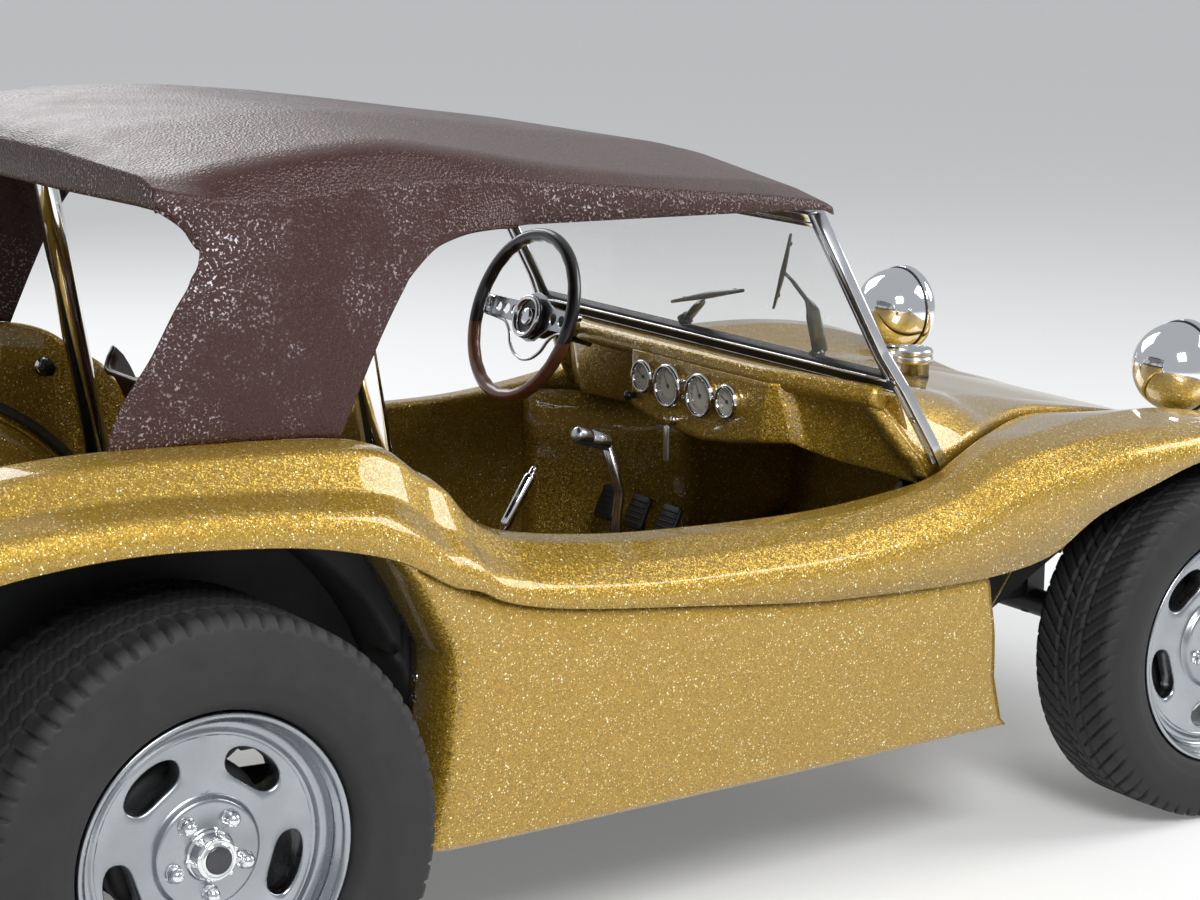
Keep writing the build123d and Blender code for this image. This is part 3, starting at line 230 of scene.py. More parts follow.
def round_corners(sections, radii, steps=7):
    """Sections whose inner corners are parabolas. Each leaves its two sides one tangent
    length from the corner, radius times the tangent of half the turn, at most 0.48 side."""
    sides = np.diff(sections, axis=1)
    length = np.linalg.norm(sides, axis=2)
    way = sides / length[..., None]
    parts = [sections[:, :1]]
    t = np.linspace(0, 1, steps)[None, :, None]
    for k, radius in enumerate(radii):
        a, b = way[:, k], way[:, k + 1]
        turn = np.arccos(np.clip((a * b).sum(1), -1, 1))
        reach = np.minimum(radius * np.tan(turn / 2), 0.48 * np.minimum(length[:, k], length[:, k + 1]))
        corner = sections[:, k + 1]
        first = (corner - a * reach[:, None])[:, None]
        last = (corner + b * reach[:, None])[:, None]
        parts.append((1 - t) ** 2 * first + 2 * t * (1 - t) * corner[:, None] + t * t * last)
    parts.append(sections[:, -1:])
    return np.concatenate(parts, axis=1)


def settle(piece, finish, node, body):
    """A piece in its finish rides on a body and replaces a node if one is named."""
    scene.collection.objects.link(piece)
    piece.data.materials.append(finish)
    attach(piece, body)
    if node:
        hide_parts(node)


def new_piece(name, points, faces, finish, node, body):
    """A mesh piece in metres from points in millimetres."""
    mesh = bpy.data.meshes.new(name)
    mesh.from_pydata((np.asarray(points, float) / 1000).tolist(), [], faces)
    mesh.shade_smooth()
    piece = bpy.data.objects.new(name, mesh)
    settle(piece, finish, node, body)
    return piece


def grid_faces(rows, columns, wrap_rows=False, wrap_columns=False, start=0):
    """Four-cornered faces of a grid of points numbered row by row."""
    index = np.arange(rows * columns).reshape(rows, columns) + start
    if wrap_rows:
        index = np.vstack([index, index[:1]])
    if wrap_columns:
        index = np.hstack([index, index[:, :1]])
    quads = np.stack([index[:-1, :-1], index[1:, :-1], index[1:, 1:], index[:-1, 1:]], axis=-1)
    return quads.reshape(-1, 4)


def outward(mesh, merge=0):
    """Merges points closer than `merge` and turns the faces outwards."""
    work = bmesh.new()
    work.from_mesh(mesh)
    if merge:
        bmesh.ops.remove_doubles(work, verts=work.verts, dist=merge)
    bmesh.ops.recalc_face_normals(work, faces=work.faces)
    work.to_mesh(mesh)
    work.free()


def walled(piece, wall, inner=None):
    """A wall behind a sheet, whose back has a finish of its own where one is given."""
    thick = piece.modifiers.new("wall", "SOLIDIFY")
    thick.thickness, thick.offset, thick.use_even_offset = wall / 1000, -1, True
    if inner:
        piece.data.materials.append(inner)
        thick.material_offset = 1


def surface(name, grid, finish, node="", away=None, wall=0, inner=None, body="chassis", wrap_rows=False,
            wrap_columns=False):
    """A sheet from a grid of points in millimetres, whose faces look away from the point `away`."""
    grid = np.asarray(grid, float)
    faces = grid_faces(*grid.shape[:2], wrap_rows, wrap_columns)
    flat = grid.reshape(-1, 3)
    if away is not None:
        corner = flat[faces]
        normal = np.cross(corner[:, 2] - corner[:, 0], corner[:, 3] - corner[:, 1])
        if (normal * (corner.mean(1) - np.asarray(away, float))).sum() < 0:
            faces = faces[:, ::-1]
    piece = new_piece(name, flat, faces.tolist(), finish, node, body)
    if wall:
        walled(piece, wall, inner)
    return piece


def joined(name, grids, finish, node="", body="chassis", loose=()):
    """Several grids, closed round, and loose point and face sets as one piece, with doubled
    points merged and faces turned outwards."""
    closed = [(grid.reshape(-1, 3), grid_faces(*grid.shape[:2], wrap_columns=True)) for grid in grids]
    points, faces, start = [], [], 0
    for more, quads in closed + list(loose):
        points.append(more)
        faces += (quads + start).tolist()
        start += len(more)
    piece = new_piece(name, np.concatenate(points), faces, finish, node, body)
    outward(piece.data, 0.00004)
    return piece


SIDES = (-1, "right"), (1, "left")


def both_sides(make):
    """Calls a maker for the right side, -1, and the left side, 1."""
    for side, name in SIDES:
        make(side, name)


def carried(x, sections, side=1):
    """Sections (across, up), one at each x; -1 mirrors them."""
    across = side * sections[..., 0]
    return np.stack([np.broadcast_to(x[:, None], across.shape), across, sections[..., 1]], -1)


def flake_group():
    """Metal flake: cells of random tone and tilt out of a Voronoi pattern. A share of the cells,
    and rare larger stars, are painted glints: bright colour that stands for highlights. It gives a
    colour, a roughness and a tilted normal."""
    tree, given, out = group_of("metal flake", [
        ("Base", "Color", (0.5, 0.3, 0.05, 1)), ("Painted Glint", "Color", (1.0, 0.85, 0.45, 1)),
        ("Flake Size", "Float", 0.0017), ("Tilt", "Float", 0.5), ("Share", "Float", 0.06),
    ], [("Color", "Color"), ("Roughness", "Float"), ("Normal", "Vector")])
    place = add(tree, "TexCoord").outputs["Object"]
    scale = calc(tree, "DIVIDE", 1, given["Flake Size"])
    fine, large = (add(tree, "TexVoronoi",
                       {"Scale": calc(tree, "MULTIPLY", scale, multiple), "Vector": place}).outputs
                   for multiple in (1.0, 0.36))
    split = add(tree, "SeparateColor", {0: fine["Color"]}).outputs
    tone = scaled(tree, split["Red"], 0.66, 1.42)
    shade = vector(tree, "SCALE", a=given["Base"], Scale=tone)
    # painted highlights: a share of the cells, and rare larger stars, take a bright glint colour
    painted_glint = calc(tree, "GREATER_THAN", split["Green"], calc(tree, "SUBTRACT", 1, given["Share"]))
    rare = calc(tree, "GREATER_THAN", add(tree, "SeparateColor", {0: large["Color"]}).outputs["Green"], 0.965)
    painted_star = calc(tree, "MULTIPLY", rare, calc(tree, "LESS_THAN", large["Distance"], 0.34))
    hue = blend(tree, 0.22, (1.0, 0.93, 0.62, 1), large["Color"])
    colour = blend(tree, painted_star, blend(tree, painted_glint, shade, given["Painted Glint"]), hue)
    tilt = vector(tree, "SCALE", a=vector(tree, "SUBTRACT", a=fine["Color"], b=(0.5, 0.5, 0.5)),
                  Scale=given["Tilt"])
    lean = vector(tree, "ADD", a=add(tree, "NewGeometry").outputs["Normal"], b=tilt)
    feed(out, {"Color": colour, "Roughness": scaled(tree, split["Blue"], 0.30, 0.48),
               "Normal": vector(tree, "NORMALIZE", a=lean)})
    return tree


def darkened(colour, share):
    return tuple(c * (1 - share) for c in colour[:3]) + (1,)


def plain(name, slot, colour, rough, spread=0.1, size=18.0, coat=0.0, darker=0.35):
    """Paint, plastic or rubber: a cloud moves the roughness and darkens the colour."""
    made, tree, bsdf = shader(name, slot, Coat_Weight=coat, Coat_Roughness=0.08)
    noise = cloud(tree, size, 7)
    feed(bsdf, {"Base Color": blend(tree, noise, colour, darkened(colour, darker)),
                "Roughness": scaled(tree, noise, rough, rough + spread)})
    return made


# Gold flake paint: Share is the part of the flake cells painted as bright glints, which stand for highlights.
GOLD, tree, bsdf = shader("gold flake", "gold_fibreglass", Metallic=0.62, Coat_Weight=0.9,
                          Coat_Roughness=0.04)
flake = add(tree, "Group", {"Base": (0.375, 0.228, 0.022, 1), "Share": 0.03, "Tilt": 0.55},
            node_tree=flake_group())
feed(bsdf, {"Base Color": flake.outputs["Color"], "Roughness": flake.outputs["Roughness"],
            "Normal": flake.outputs["Normal"]})
UNDERCOAT = plain("black undercoat", "gold_fibreglass", (0.022, 0.022, 0.022, 1), 0.6, 0.25)

x_skin = np.unique(np.concatenate([
    np.linspace(REAR_X - 520, FRONT_X + 448, 190),
    REAR_X + HOUSE_R * np.cos(np.linspace(0, pi, 60)), [REAR_X - HOUSE_R - 0.1, REAR_X + HOUSE_R + 0.1],
]))
skin_values = curve_of(SIDE_ROWS, x_skin)
foot_and_flange = skin_values[:, :3].copy()
skin_values = eased(x_skin, skin_values, 22)
inside_house = np.abs(x_skin - REAR_X) <= HOUSE_R
arch_z = REAR_TYRE_R + np.sqrt(np.clip(HOUSE_R ** 2 - (x_skin - REAR_X) ** 2, 0, None))
foot_z = np.where(inside_house, np.maximum(arch_z, foot_and_flange[:, 2]), foot_and_flange[:, 2])
flange_s = np.where(inside_house, 453, foot_and_flange[:, 0])
skin_sections = np.stack([
    np.stack([flange_s, foot_z], 1), np.stack([skin_values[:, 1], foot_z], 1),
    np.stack([skin_values[:, 1], skin_values[:, 3]], 1),
] + [skin_values[:, c:c + 2] for c in (4, 6, 8, 10)], axis=1)
skin_sections = round_corners(skin_sections, [10, 14, 30, 30, 36])


def body_side(side, name):
    """The section carried along x, mirrored for the left side."""
    surface(f"body_side_{name}", carried(x_skin, skin_sections, side), GOLD, "body_shell",
            (0, side * 640, 300), SHELL_WALL, UNDERCOAT)


both_sides(body_side)

# Wheel house: the rear tyre's tub, a rounded drum face that bulges into the cabin.
HOUSE_S, SHELF_Z = 450, 486


def house_face(side, name):
    """A half disc above the shelf: rays from the shelf line out to the rim, curled outwards."""
    low = np.arcsin((SHELF_Z - REAR_TYRE_R) / HOUSE_R)
    turn = np.linspace(low, pi - low, 60)[:, None]
    out = np.linspace(0, 1, 12)[None, :]
    radius = HOUSE_R + SHELL_WALL
    x = REAR_X + radius * np.cos(turn) * np.ones_like(out)
    z = SHELF_Z + (REAR_TYRE_R + radius * np.sin(turn) - SHELF_Z) * out
    s = HOUSE_S + 14 * np.clip((out - 0.8) / 0.2, 0, 1) ** 2 * np.ones_like(turn)
    surface(f"wheel_house_{name}", np.stack([x, side * s, z], -1), GOLD, "body_shell",
            (REAR_X, side * 700, 600), SHELL_WALL, UNDERCOAT)


both_sides(house_face)


def arch_liner(side, name):
    """A black liner that flares out from the drum before the tyre; its front end hangs free."""
    turn = np.radians(np.linspace(14, 96, 30))[:, None]
    out = np.linspace(0, 1, 9)[None, :]
    radius = HOUSE_R + 12 + 52 * out ** 1.5 * np.clip(1.25 - turn, 0, 1)
    s = HOUSE_S + 12 + 108 * out + 0 * turn
    grid = np.stack([REAR_X + radius * np.cos(turn), side * s, REAR_TYRE_R + radius * np.sin(turn)], -1)
    surface(f"arch_liner_{name}", grid, UNDERCOAT, "body_shell", (REAR_X, side * 500, REAR_TYRE_R), 5)


both_sides(arch_liner)

# Rear deck: the heel board behind the seats, the luggage shelf, and the bulkhead and
# deck lip before the engine.
DECK = [(REAR_X + 518, 241), (REAR_X + 510, SHELF_Z), (REAR_X - 60, SHELF_Z), (REAR_X - 150, 845),
        (REAR_X - 275, 838), (REAR_X - 280, 800)]
profile = round_corners(np.array([DECK], float), [20, 30, 30, 12])[0]
fine = np.concatenate([np.linspace(a, b, 12, endpoint=False) if np.linalg.norm(b - a) > 60 else a[None]
                       for a, b in zip(profile, profile[1:])] + [profile[-1:]])
to_axle = np.hypot(fine[:, 0] - REAR_X, fine[:, 1] - REAR_TYRE_R)
wall_s = curve_of(SIDE_ROWS, fine[:, 0])[:, 1] + 3
half_width = np.where(to_axle < HOUSE_R + 3, HOUSE_S + 4, wall_s)
across = np.linspace(-1, 1, 9)
deck_grid = np.stack([fine[:, :1] + 0 * across, half_width[:, None] * across, fine[:, 1:] + 0 * across], -1)
surface("rear_deck", deck_grid, GOLD, "body_shell", (REAR_X + 100, 0, 300), SHELL_WALL)

# Inner front walls and nose panel: they close the foot space from the front wheels.
INNER_WALL = [(REAR_X + 1360, 568), (FRONT_X - 430, 352), (FRONT_X - 60, 328), (FRONT_X + 450, 256)]
WALL_TOP = np.array([(REAR_X + 1300, 645), (FRONT_X - 500, 645), (FRONT_X - 342, 660),
                     (FRONT_X - 222, 658), (FRONT_X - 88, 640), (FRONT_X + 48, 616),
                     (FRONT_X + 158, 592), (FRONT_X + 268, 564), (FRONT_X + 368, 530), (FRONT_X + 500, 460)])
WALL_FOOT = np.array([(REAR_X + 1300, 240), (FRONT_X - 322, 240), (FRONT_X - 240, 330),
                      (FRONT_X + 60, 470), (FRONT_X + 520, 400)])
plan = round_corners(np.array([INNER_WALL], float), [90, 200])[0]
plan = np.concatenate([np.linspace(a, b, 10, endpoint=False) for a, b in zip(plan, plan[1:])] + [plan[-1:]])


def read(table, at):
    """The second column of a table at values of its first, by straight pieces."""
    return np.interp(at, table[:, 0], table[:, 1])


def front_wall(side, name):
    """A curtain under the plan curve from the floor's line to the body flange."""
    up = np.linspace(0, 1, 5)[None, :]
    foot, top = (read(table, plan[:, :1]) for table in (WALL_FOOT, WALL_TOP))
    grid = np.stack([plan[:, :1] + 0 * up, side * plan[:, 1:] + 0 * up, foot + (top - foot) * up], -1)
    surface(f"inner_wall_{name}", grid, UNDERCOAT, "body_shell", (FRONT_X, 0, 450), SHELL_WALL, GOLD)


both_sides(front_wall)

# Toe board: from the floor's front edge up to the hood, between the inner walls.
TOE = [(REAR_X + 1588, 243), (REAR_X + 1730, 262), (REAR_X + 1846, 400), (REAR_X + 1872, 540),
       (REAR_X + 1874, 694)]
profile = round_corners(np.array([TOE], float), [60, 60, 40], 8)[0]
width = read(plan, profile[:, :1])
toe_grid = np.stack([profile[:, :1] + 0 * across, width * across, profile[:, 1:] + 0 * across], -1)
surface("toe_board", toe_grid, GOLD, "body_shell", (REAR_X + 2200, 0, 300), SHELL_WALL)


# Hood and cowl: a loose-fitting moulding over the nose, crowned across, its edges turned down
# on to the fender tops. Rows are x, edge s, edge z, shoulder s and crown z.
HOOD_ROWS = np.array([
    (FRONT_X - 660, 548, 694, 490, 808), (FRONT_X - 560, 546, 694, 470, 794),
    (FRONT_X - 500, 538, 702, 450, 780), (FRONT_X - 432, 516, 722, 420, 764),
    (FRONT_X - 342, 446, 712, 330, 738), (FRONT_X - 222, 386, 712, 280, 716),
    (FRONT_X - 88, 351, 694, 240, 690), (FRONT_X + 48, 326, 670, 220, 664),
    (FRONT_X + 158, 311, 646, 210, 640), (FRONT_X + 268, 296, 618, 200, 614),
    (FRONT_X + 368, 281, 584, 190, 582), (FRONT_X + 440, 268, 532, 180, 540),
])


def mirrored(half):
    """Whole sections from the points (across, up) of a half, edge first."""
    return np.stack([np.stack(point, 1) for point in half + [(-s, z) for s, z in half[::-1]]], 1)


x_hood = np.linspace(HOOD_ROWS[0, 0], HOOD_ROWS[-1, 0], 110)
edge, edge_z, shoulder, crown = eased(x_hood, curve_of(HOOD_ROWS, x_hood), 30).T
half = [(edge - 4, edge_z - 36), (edge - 4, edge_z + 6), (shoulder, crown + 6)]
hood_grid = carried(x_hood, round_corners(mirrored(half), [14, 220, 220, 14], 14))
# the rear edge leans forward down its sides, as the windshield's posts do
swept = 0.5 * (1 + np.cos(pi * np.clip((x_hood - x_hood[0]) / 170, 0, 1)))
hood_grid[..., 0] += 0.57 * np.clip(812 - hood_grid[..., 2], 0, None) * swept[:, None]
surface("hood", hood_grid, GOLD, "hood_cowl", (FRONT_X, 0, 300), SHELL_WALL, UNDERCOAT)


# Side panels: flaked skins bolted under the body's lip, softly creased at half height, whose
# front edge leans with the arch and whose foot and rear edges fold in under the sill.
PANEL_ROWS = np.array([
    (REAR_X + 290, 730, 560, 716, 420, 694, 242), (REAR_X + 390, 722, 540, 712, 400, 690, 242),
    (REAR_X + 470, 716, 530, 706, 400, 684, 238), (REAR_X + 860, 704, 490, 694, 380, 672, 234),
    (REAR_X + 1150, 700, 450, 688, 370, 664, 232), (FRONT_X - 475, 694, 440, 680, 350, 656, 232),
])
PANEL_FRONT = np.array([(236, 1557), (258, 1530), (300, 1506), (372, 1496), (480, 1474), (580, 1464)], float)
PANEL_GAP = 3
PANEL_ARCH = np.array([(232, 388), (350, 396), (470, 416), (548, 418), (626, 393), (692, 344), (742, 284)],
                      float)
SOFT_EDGE = 40
along = np.unique(np.concatenate([np.linspace(0, 0.04, 16), np.linspace(0.04, 1, 92)]))
x_panel = REAR_X + 290 + along * (FRONT_X - 475 - REAR_X - 290)
panel = curve_of(PANEL_ROWS, x_panel)
lip = curve_of(SIDE_ROWS, x_panel)
inside = lip[:, 10] - SHELL_WALL - PANEL_GAP
panel_sections = np.stack([
    np.stack([inside - 10, lip[:, 11] + 18], 1), np.stack([inside, lip[:, 11] - 18], 1),
    panel[:, 0:2], panel[:, 2:4], panel[:, 4:6], np.stack([lip[:, 1] + SHELL_WALL, panel[:, 5] + 2], 1),
], 1)
panel_sections = round_corners(panel_sections, [60, 900, 700, 26], 12)


def side_panel(side, name):
    """The section carried along x, each height drawn out between the arch and the leaning front
    edge, with a wall that turns in along the arch by a quarter round."""
    rear_x, front_x = (REAR_X + read(table, panel_sections[..., 1]) for table in (PANEL_ARCH, PANEL_FRONT))
    x = rear_x + (front_x - rear_x) * along[:, None]
    at = np.clip(np.interp(x, x_panel, np.arange(len(along))), 0, len(along) - 1.001)
    low, part = at.astype(int), at % 1
    column = np.arange(x.shape[1])[None, :]
    s, z = ((panel_sections[low, column, k] * (1 - part) + panel_sections[low + 1, column, k] * part)
            for k in (0, 1))
    wall_s = np.minimum(s, 594)
    turned_in = [np.stack([x[0] + back, np.maximum(s[0] - inward, wall_s[0]), z[0]], -1)
                 for inward, back in ((132, 1), (100, -2), (70, -3), (SOFT_EDGE + 8, -2))]
    past = np.clip(SOFT_EDGE - (x - x[:1]), 0, SOFT_EDGE)
    s = np.maximum(s - SOFT_EDGE + np.sqrt(SOFT_EDGE ** 2 - past ** 2), wall_s)
    grid = np.concatenate([turned_in, np.stack([x, s, z], -1)]) * [1, side, 1]
    surface(f"side_skin_{name}", grid, GOLD, f"side_panel_{name}", (0, side * 600, 400), SHELL_WALL,
            UNDERCOAT)


both_sides(side_panel)


# Vinyl top: grained maroon-brown vinyl over a shaped frame, with a hanging rear edge and two
# broad sails that run down to the body rail behind the doors.
ROOF_ROWS = np.array([
    (REAR_X + 24, 1266, 1265, 540, 1257, 588, 1243, 1213),
    (REAR_X + 60, 1290, 1284, 545, 1252, 597, 1234, 1186),
    (REAR_X + 84, 1296, 1290, 548, 1256, 598, 1226, 1156),
    (REAR_X + 175, 1304, 1298, 555, 1270, 600, 1217, 1160),
    (REAR_X + 385, 1312, 1306, 555, 1287, 602, 1227, 1160),
    (REAR_X + 540, 1301, 1294, 555, 1264, 600, 1226, 1157),
    (REAR_X + 645, 1289, 1282, 554, 1243, 598, 1214, 1154),
    (REAR_X + 908, 1252, 1244, 540, 1204, 592, 1185, 1147),
    (REAR_X + 1140, 1216, 1209, 510, 1178, 578, 1158, 1139),
    (REAR_X + 1196, 1198, 1192, 500, 1164, 572, 1149, 1136),
    (REAR_X + 1224, 1172, 1168, 490, 1148, 566, 1138, 1126),
])


def grain_group():
    """Crinkled grain: cell ridges over a finer noise. Painted sparkle highlights lie on the noise's
    peaks, gathered in clouds and kept to steep ground; dust with a painted pale sheen lies in clouds
    on level ground."""
    tree, given, out = group_of("vinyl grain", [("Cell Size", "Float", 0.004), ("Depth", "Float", 0.35)], [
        ("Normal", "Vector"), ("Polish", "Float"), ("Dust And Sheen", "Float"), ("Painted Sparkle", "Float")])
    place = add(tree, "TexCoord").outputs["Object"]
    scale = calc(tree, "DIVIDE", 1, given["Cell Size"])
    cell = add(tree, "TexVoronoi", {"Smoothness": 0.4, "Vector": place, "Scale": scale}, feature="SMOOTH_F1")
    patches = cloud(tree, 5.5, 6, Roughness=0.65)
    crinkle = cloud(tree, scale, 2)
    ridge = calc(tree, "ADD", cell.outputs["Distance"], crinkle)
    bump = add(tree, "Bump", {"Distance": 0.0018, "Strength": given["Depth"], "Height": ridge}).outputs[0]
    up = add(tree, "SeparateXYZ", {0: add(tree, "NewGeometry").outputs["Normal"]}).outputs["Z"]
    peaks, gathered, steep = (scaled(tree, value, 0, 1, start, end) for value, start, end in (
        (crinkle, 0.585, 0.66), (patches, 0.44, 0.66), (up, 0.55, 0.2)))
    feed(out, {"Normal": bump, "Polish": scaled(tree, patches, 0.24, 0.46, 0.35, 0.68),
               "Dust And Sheen": calc(tree, "MULTIPLY", scaled(tree, up, 0, 1, 0.75, 1.0), patches),
               "Painted Sparkle": calc(tree, "MULTIPLY", calc(tree, "MULTIPLY", peaks, gathered), steep)})
    return tree


GRAIN = grain_group()


def vinyl(name, slot, colour, dust_and_sheen, cell_size, depth, painted_sparkle):
    """Grained vinyl of a colour that pales on level ground towards a colour for dust and a painted
    sheen, and turns on the raised crinkles of steep ground to a colour for painted sparkle
    highlights."""
    made, tree, bsdf = shader(name, slot, Specular_IOR_Level=0.4)
    grain = add(tree, "Group", {"Cell Size": cell_size, "Depth": depth}, node_tree=GRAIN)
    dull = blend(tree, grain.outputs["Dust And Sheen"], colour, dust_and_sheen)
    feed(bsdf, {"Base Color": blend(tree, grain.outputs["Painted Sparkle"], dull, painted_sparkle),
                "Roughness": grain.outputs["Polish"], "Normal": grain.outputs["Normal"]})
    return made


# Roof vinyl: the pale grey-brown on level ground is dust with a painted sheen; the pale clouds of crinkle
# peaks on steep ground are painted sparkle highlights.
TOP_VINYL = vinyl("maroon brown vinyl", "brown_vinyl", (0.037, 0.0125, 0.0095, 1), (0.15, 0.112, 0.108, 1),
                  0.0042, 0.8, (0.62, 0.56, 0.6, 1))
x_roof = REAR_X + np.unique(np.concatenate([np.linspace(24, 84, 16), np.linspace(84, 600, 54),
                                            np.linspace(600, 1150, 34), np.linspace(1150, 1224, 16)]))
roof = eased(x_roof, curve_of(ROOF_ROWS, x_roof), 18)
crown, mid, shoulder, shoulder_z, edge, corner_z, edge_z = roof.T
edge_z = curve_of(ROOF_ROWS, x_roof)[:, 6]
half = [(edge, edge_z), (edge - 4, corner_z), (shoulder, shoulder_z), (shoulder / 2, (crown + mid) / 2)]
roof_grid = carried(x_roof, round_corners(mirrored(half), [16, 90, 500, 500, 90, 16], 10))

# the hanging rear edge, bent down from the top's first section
VALANCE_LOW = np.array([(-588, 1213), (-470, 1214), (-235, 1209), (235, 1209), (470, 1214), (588, 1213)],
                       float)
top_line = roof_grid[0]
low_z = read(VALANCE_LOW, top_line[:, 1])
drop = np.linspace(0, 1, 8)[:, None]
valance_grid = np.stack([
    top_line[None, :, 0] - 3 * np.sin(drop * pi), np.broadcast_to(top_line[None, :, 1], (8, len(top_line))),
    top_line[None, :, 2] + (np.minimum(low_z, top_line[:, 2] - 3)[None] - top_line[None, :, 2]) * drop], -1)

SAIL_REAR = np.array([(-66, 884), (-62, 908), (10, 1019), (45, 1077), (68, 1110), (80, 1134), (84, 1156)],
                     float)
SAIL_FRONT = np.array([(297, 866), (342, 960), (384, 1040), (424, 1100), (470, 1136), (530, 1150),
                       (600, 1153)], float)


def sail(side):
    """Columns from the top's side edge, or from the rear outline behind it, down to the body
    rail, or to the front outline before it; they swell outwards a little and lean to the rail."""
    behind = 84 - 150 * np.linspace(1, 0, 40)[:-1] ** 1.5
    x = np.concatenate([REAR_X + behind, x_roof[(x_roof > REAR_X + 83.9) & (x_roof < REAR_X + 600.1)]])
    over = x - REAR_X
    first = int(np.argmin(np.abs(x_roof - REAR_X - 84)))
    count = int((over > 83.9).sum())
    top = np.column_stack([x, np.full(len(x), roof_grid[first, 0, 1]), curve_of(SAIL_REAR, over)[:, 0]])
    top[-count:] = roof_grid[first:first + count, 0]
    foot = np.where(over <= 297, curve_of(SIDE_ROWS, x)[:, 3] - 3, curve_of(SAIL_FRONT, over)[:, 0])
    foot = np.minimum(foot, top[:, 2] - 3)
    down = np.linspace(0, 1, 32)[:, None]
    z = top[:, 2] + (foot - top[:, 2]) * down
    fold = np.exp(-((z - 1118 + 0.06 * over) / 7) ** 2) * np.clip(over / 90, 0, 1)
    s = top[:, 1] + (600 - top[:, 1]) * (1 - (1 - down) ** 3) + 3 * np.sin(pi * down) - 2.5 * fold
    s[0] = top[:, 1]
    return np.stack([x + 0 * z, side * s, z], -1)


parts = [(grid.reshape(-1, 3), grid_faces(*grid.shape[:2]))
         for grid in (roof_grid, valance_grid, sail(-1), sail(1))]
top_skin = joined("vinyl_top", [], TOP_VINYL, "roof_top", loose=parts)
walled(top_skin, 4)


# Wheels: cast aluminium slotted rims, polished, the face set back in a stepped lip, with five
# acorn nuts over five kidney slots and a turned cone cap that keeps a plain round end. The
# sizes of a wheel are half track, rim width, tyre radius and tyre width.
RIM_R = 208
RIM_INSET = 42
REAR_WHEEL, FRONT_WHEEL = (668, 228, REAR_TYRE_R, 276), (627, 178, FRONT_TYRE_R, 204)
WHEELS = [(f"{place}_{name}", x, side, *sizes) for place, x, sizes in (
    ("rear", REAR_X, REAR_WHEEL), ("front", FRONT_X, FRONT_WHEEL)) for side, name in SIDES]


def metal(name, slot, colour, rough, spread, grime=0.0, size=9.0):
    """Bare or plated metal: a cloud moves its roughness by `spread` and greys it by `grime`."""
    made, tree, bsdf = shader(name, slot, Metallic=1.0)
    noise = cloud(tree, size, 8)
    feed(bsdf, {"Roughness": scaled(tree, noise, rough, rough + spread, 0.3, 0.7),
                "Base Color": blend(tree, noise, colour, darkened(colour, grime))})
    return made


POLISHED = metal("polished aluminium", "bright_aluminium", (0.74, 0.75, 0.77, 1), 0.16, 0.16, 0.25)
CHROME = metal("chrome plate", "chrome", (0.86, 0.87, 0.88, 1), 0.04, 0.04, 0.05)
DARK_CHROME = metal("dark turned metal", "black_trim", (0.10, 0.10, 0.11, 1), 0.25, 0.15, 0.2)
BLACK_IRON = plain("black iron", "chassis_black", (0.02, 0.02, 0.021, 1), 0.45, 0.3)


def circle(steps):
    """Equal angles once round."""
    return np.linspace(0, 2 * pi, steps, endpoint=False)


def sideways(side):
    """A frame for things turned about a cross axis: ahead, up, out to that side."""
    return np.array([(1, 0, 0), (0, 0, 1), (0, side, 0)], float)


def spun(profile, at, axes, steps=32):
    """Points of a profile (radius, height) turned about the third axis of a frame at `at`,
    through equal angles; rows follow the profile."""
    profile = np.asarray(profile, float)
    turn = circle(steps)[None, :, None]
    r, out = profile[:, :1, None], profile[:, 1:, None]
    return np.asarray(at, float) + r * np.cos(turn) * axes[0] + r * np.sin(turn) * axes[1] + out * axes[2]


def smooth_line(points, steps):
    """A profile through the points: cubic pieces in the running length along its chords."""
    points = np.asarray(points, float)
    run = np.concatenate([[0], np.cumsum(np.linalg.norm(np.diff(points, axis=0), axis=1))])
    return curve_of(np.column_stack([run, points]), np.linspace(0, run[-1], steps))


FACE_IN, FACE_OUT, SLOT_MID = 84.0, 166.0, 132.0
SLOT_LONG, SLOT_WIDE, SLOT_POWER, WEB = 46.0, 23.0, 2.6, 36
SLOTS = 5
HALF_SECTOR = pi / SLOTS * SLOT_MID
WHEEL_METAL = metal("wheel aluminium", "rim_aluminium", (0.47, 0.49, 0.52, 1), 0.17, 0.2, 0.4)


def slotted_face(x, side, s, z):
    """Five sectors. Each is drawn between a kidney slot and the sector's own edge, along rays
    from the slot's middle in (arc length, radius), and rolls over into the slot's wall."""
    ray = np.unique(np.concatenate([circle(48)] + [
        [atan2(v, u) % (2 * pi)] for u in (-HALF_SECTOR, HALF_SECTOR)
        for v in (FACE_OUT - SLOT_MID, FACE_IN - SLOT_MID)]))
    c, d = np.cos(ray), np.sin(ray)
    high = np.where(d > 0, FACE_OUT - SLOT_MID, SLOT_MID - FACE_IN)
    to_edge = np.minimum(HALF_SECTOR / np.maximum(abs(c), 1e-9), high / np.maximum(abs(d), 1e-9))
    to_slot = (abs(c / SLOT_LONG) ** SLOT_POWER + abs(d / SLOT_WIDE) ** SLOT_POWER) ** (-1 / SLOT_POWER)
    flat = to_edge - to_slot - 4
    rows = [(to_slot + 4 + flat * share, -WEB) for share in (1.0, 0.5)]
    rows += [(to_slot + grow, depth)
             for grow, depth in ((4, -WEB), (0, 2 - WEB), (0, -5), (1.2, -1.6), (4, 0))]
    rows += [(to_slot + 4 + flat * share, 0) for share in (0.35, 0.7, 1.0)]
    reach, out = np.array([row[0] for row in rows]), np.array([[row[1]] for row in rows], float)
    arc, r = reach * c, SLOT_MID + reach * d
    points, faces = [], []
    for k in range(SLOTS):
        turn = -pi / 2 + k * 2 * pi / SLOTS + arc / SLOT_MID
        sector = np.stack([x + r * np.cos(turn), side * (s + out) + 0 * r, z + r * np.sin(turn)], -1)
        points.append(sector.reshape(-1, 3))
        faces.append(grid_faces(len(out), len(ray), wrap_columns=True, start=k * r.size))
    return np.concatenate(points), np.concatenate(faces)


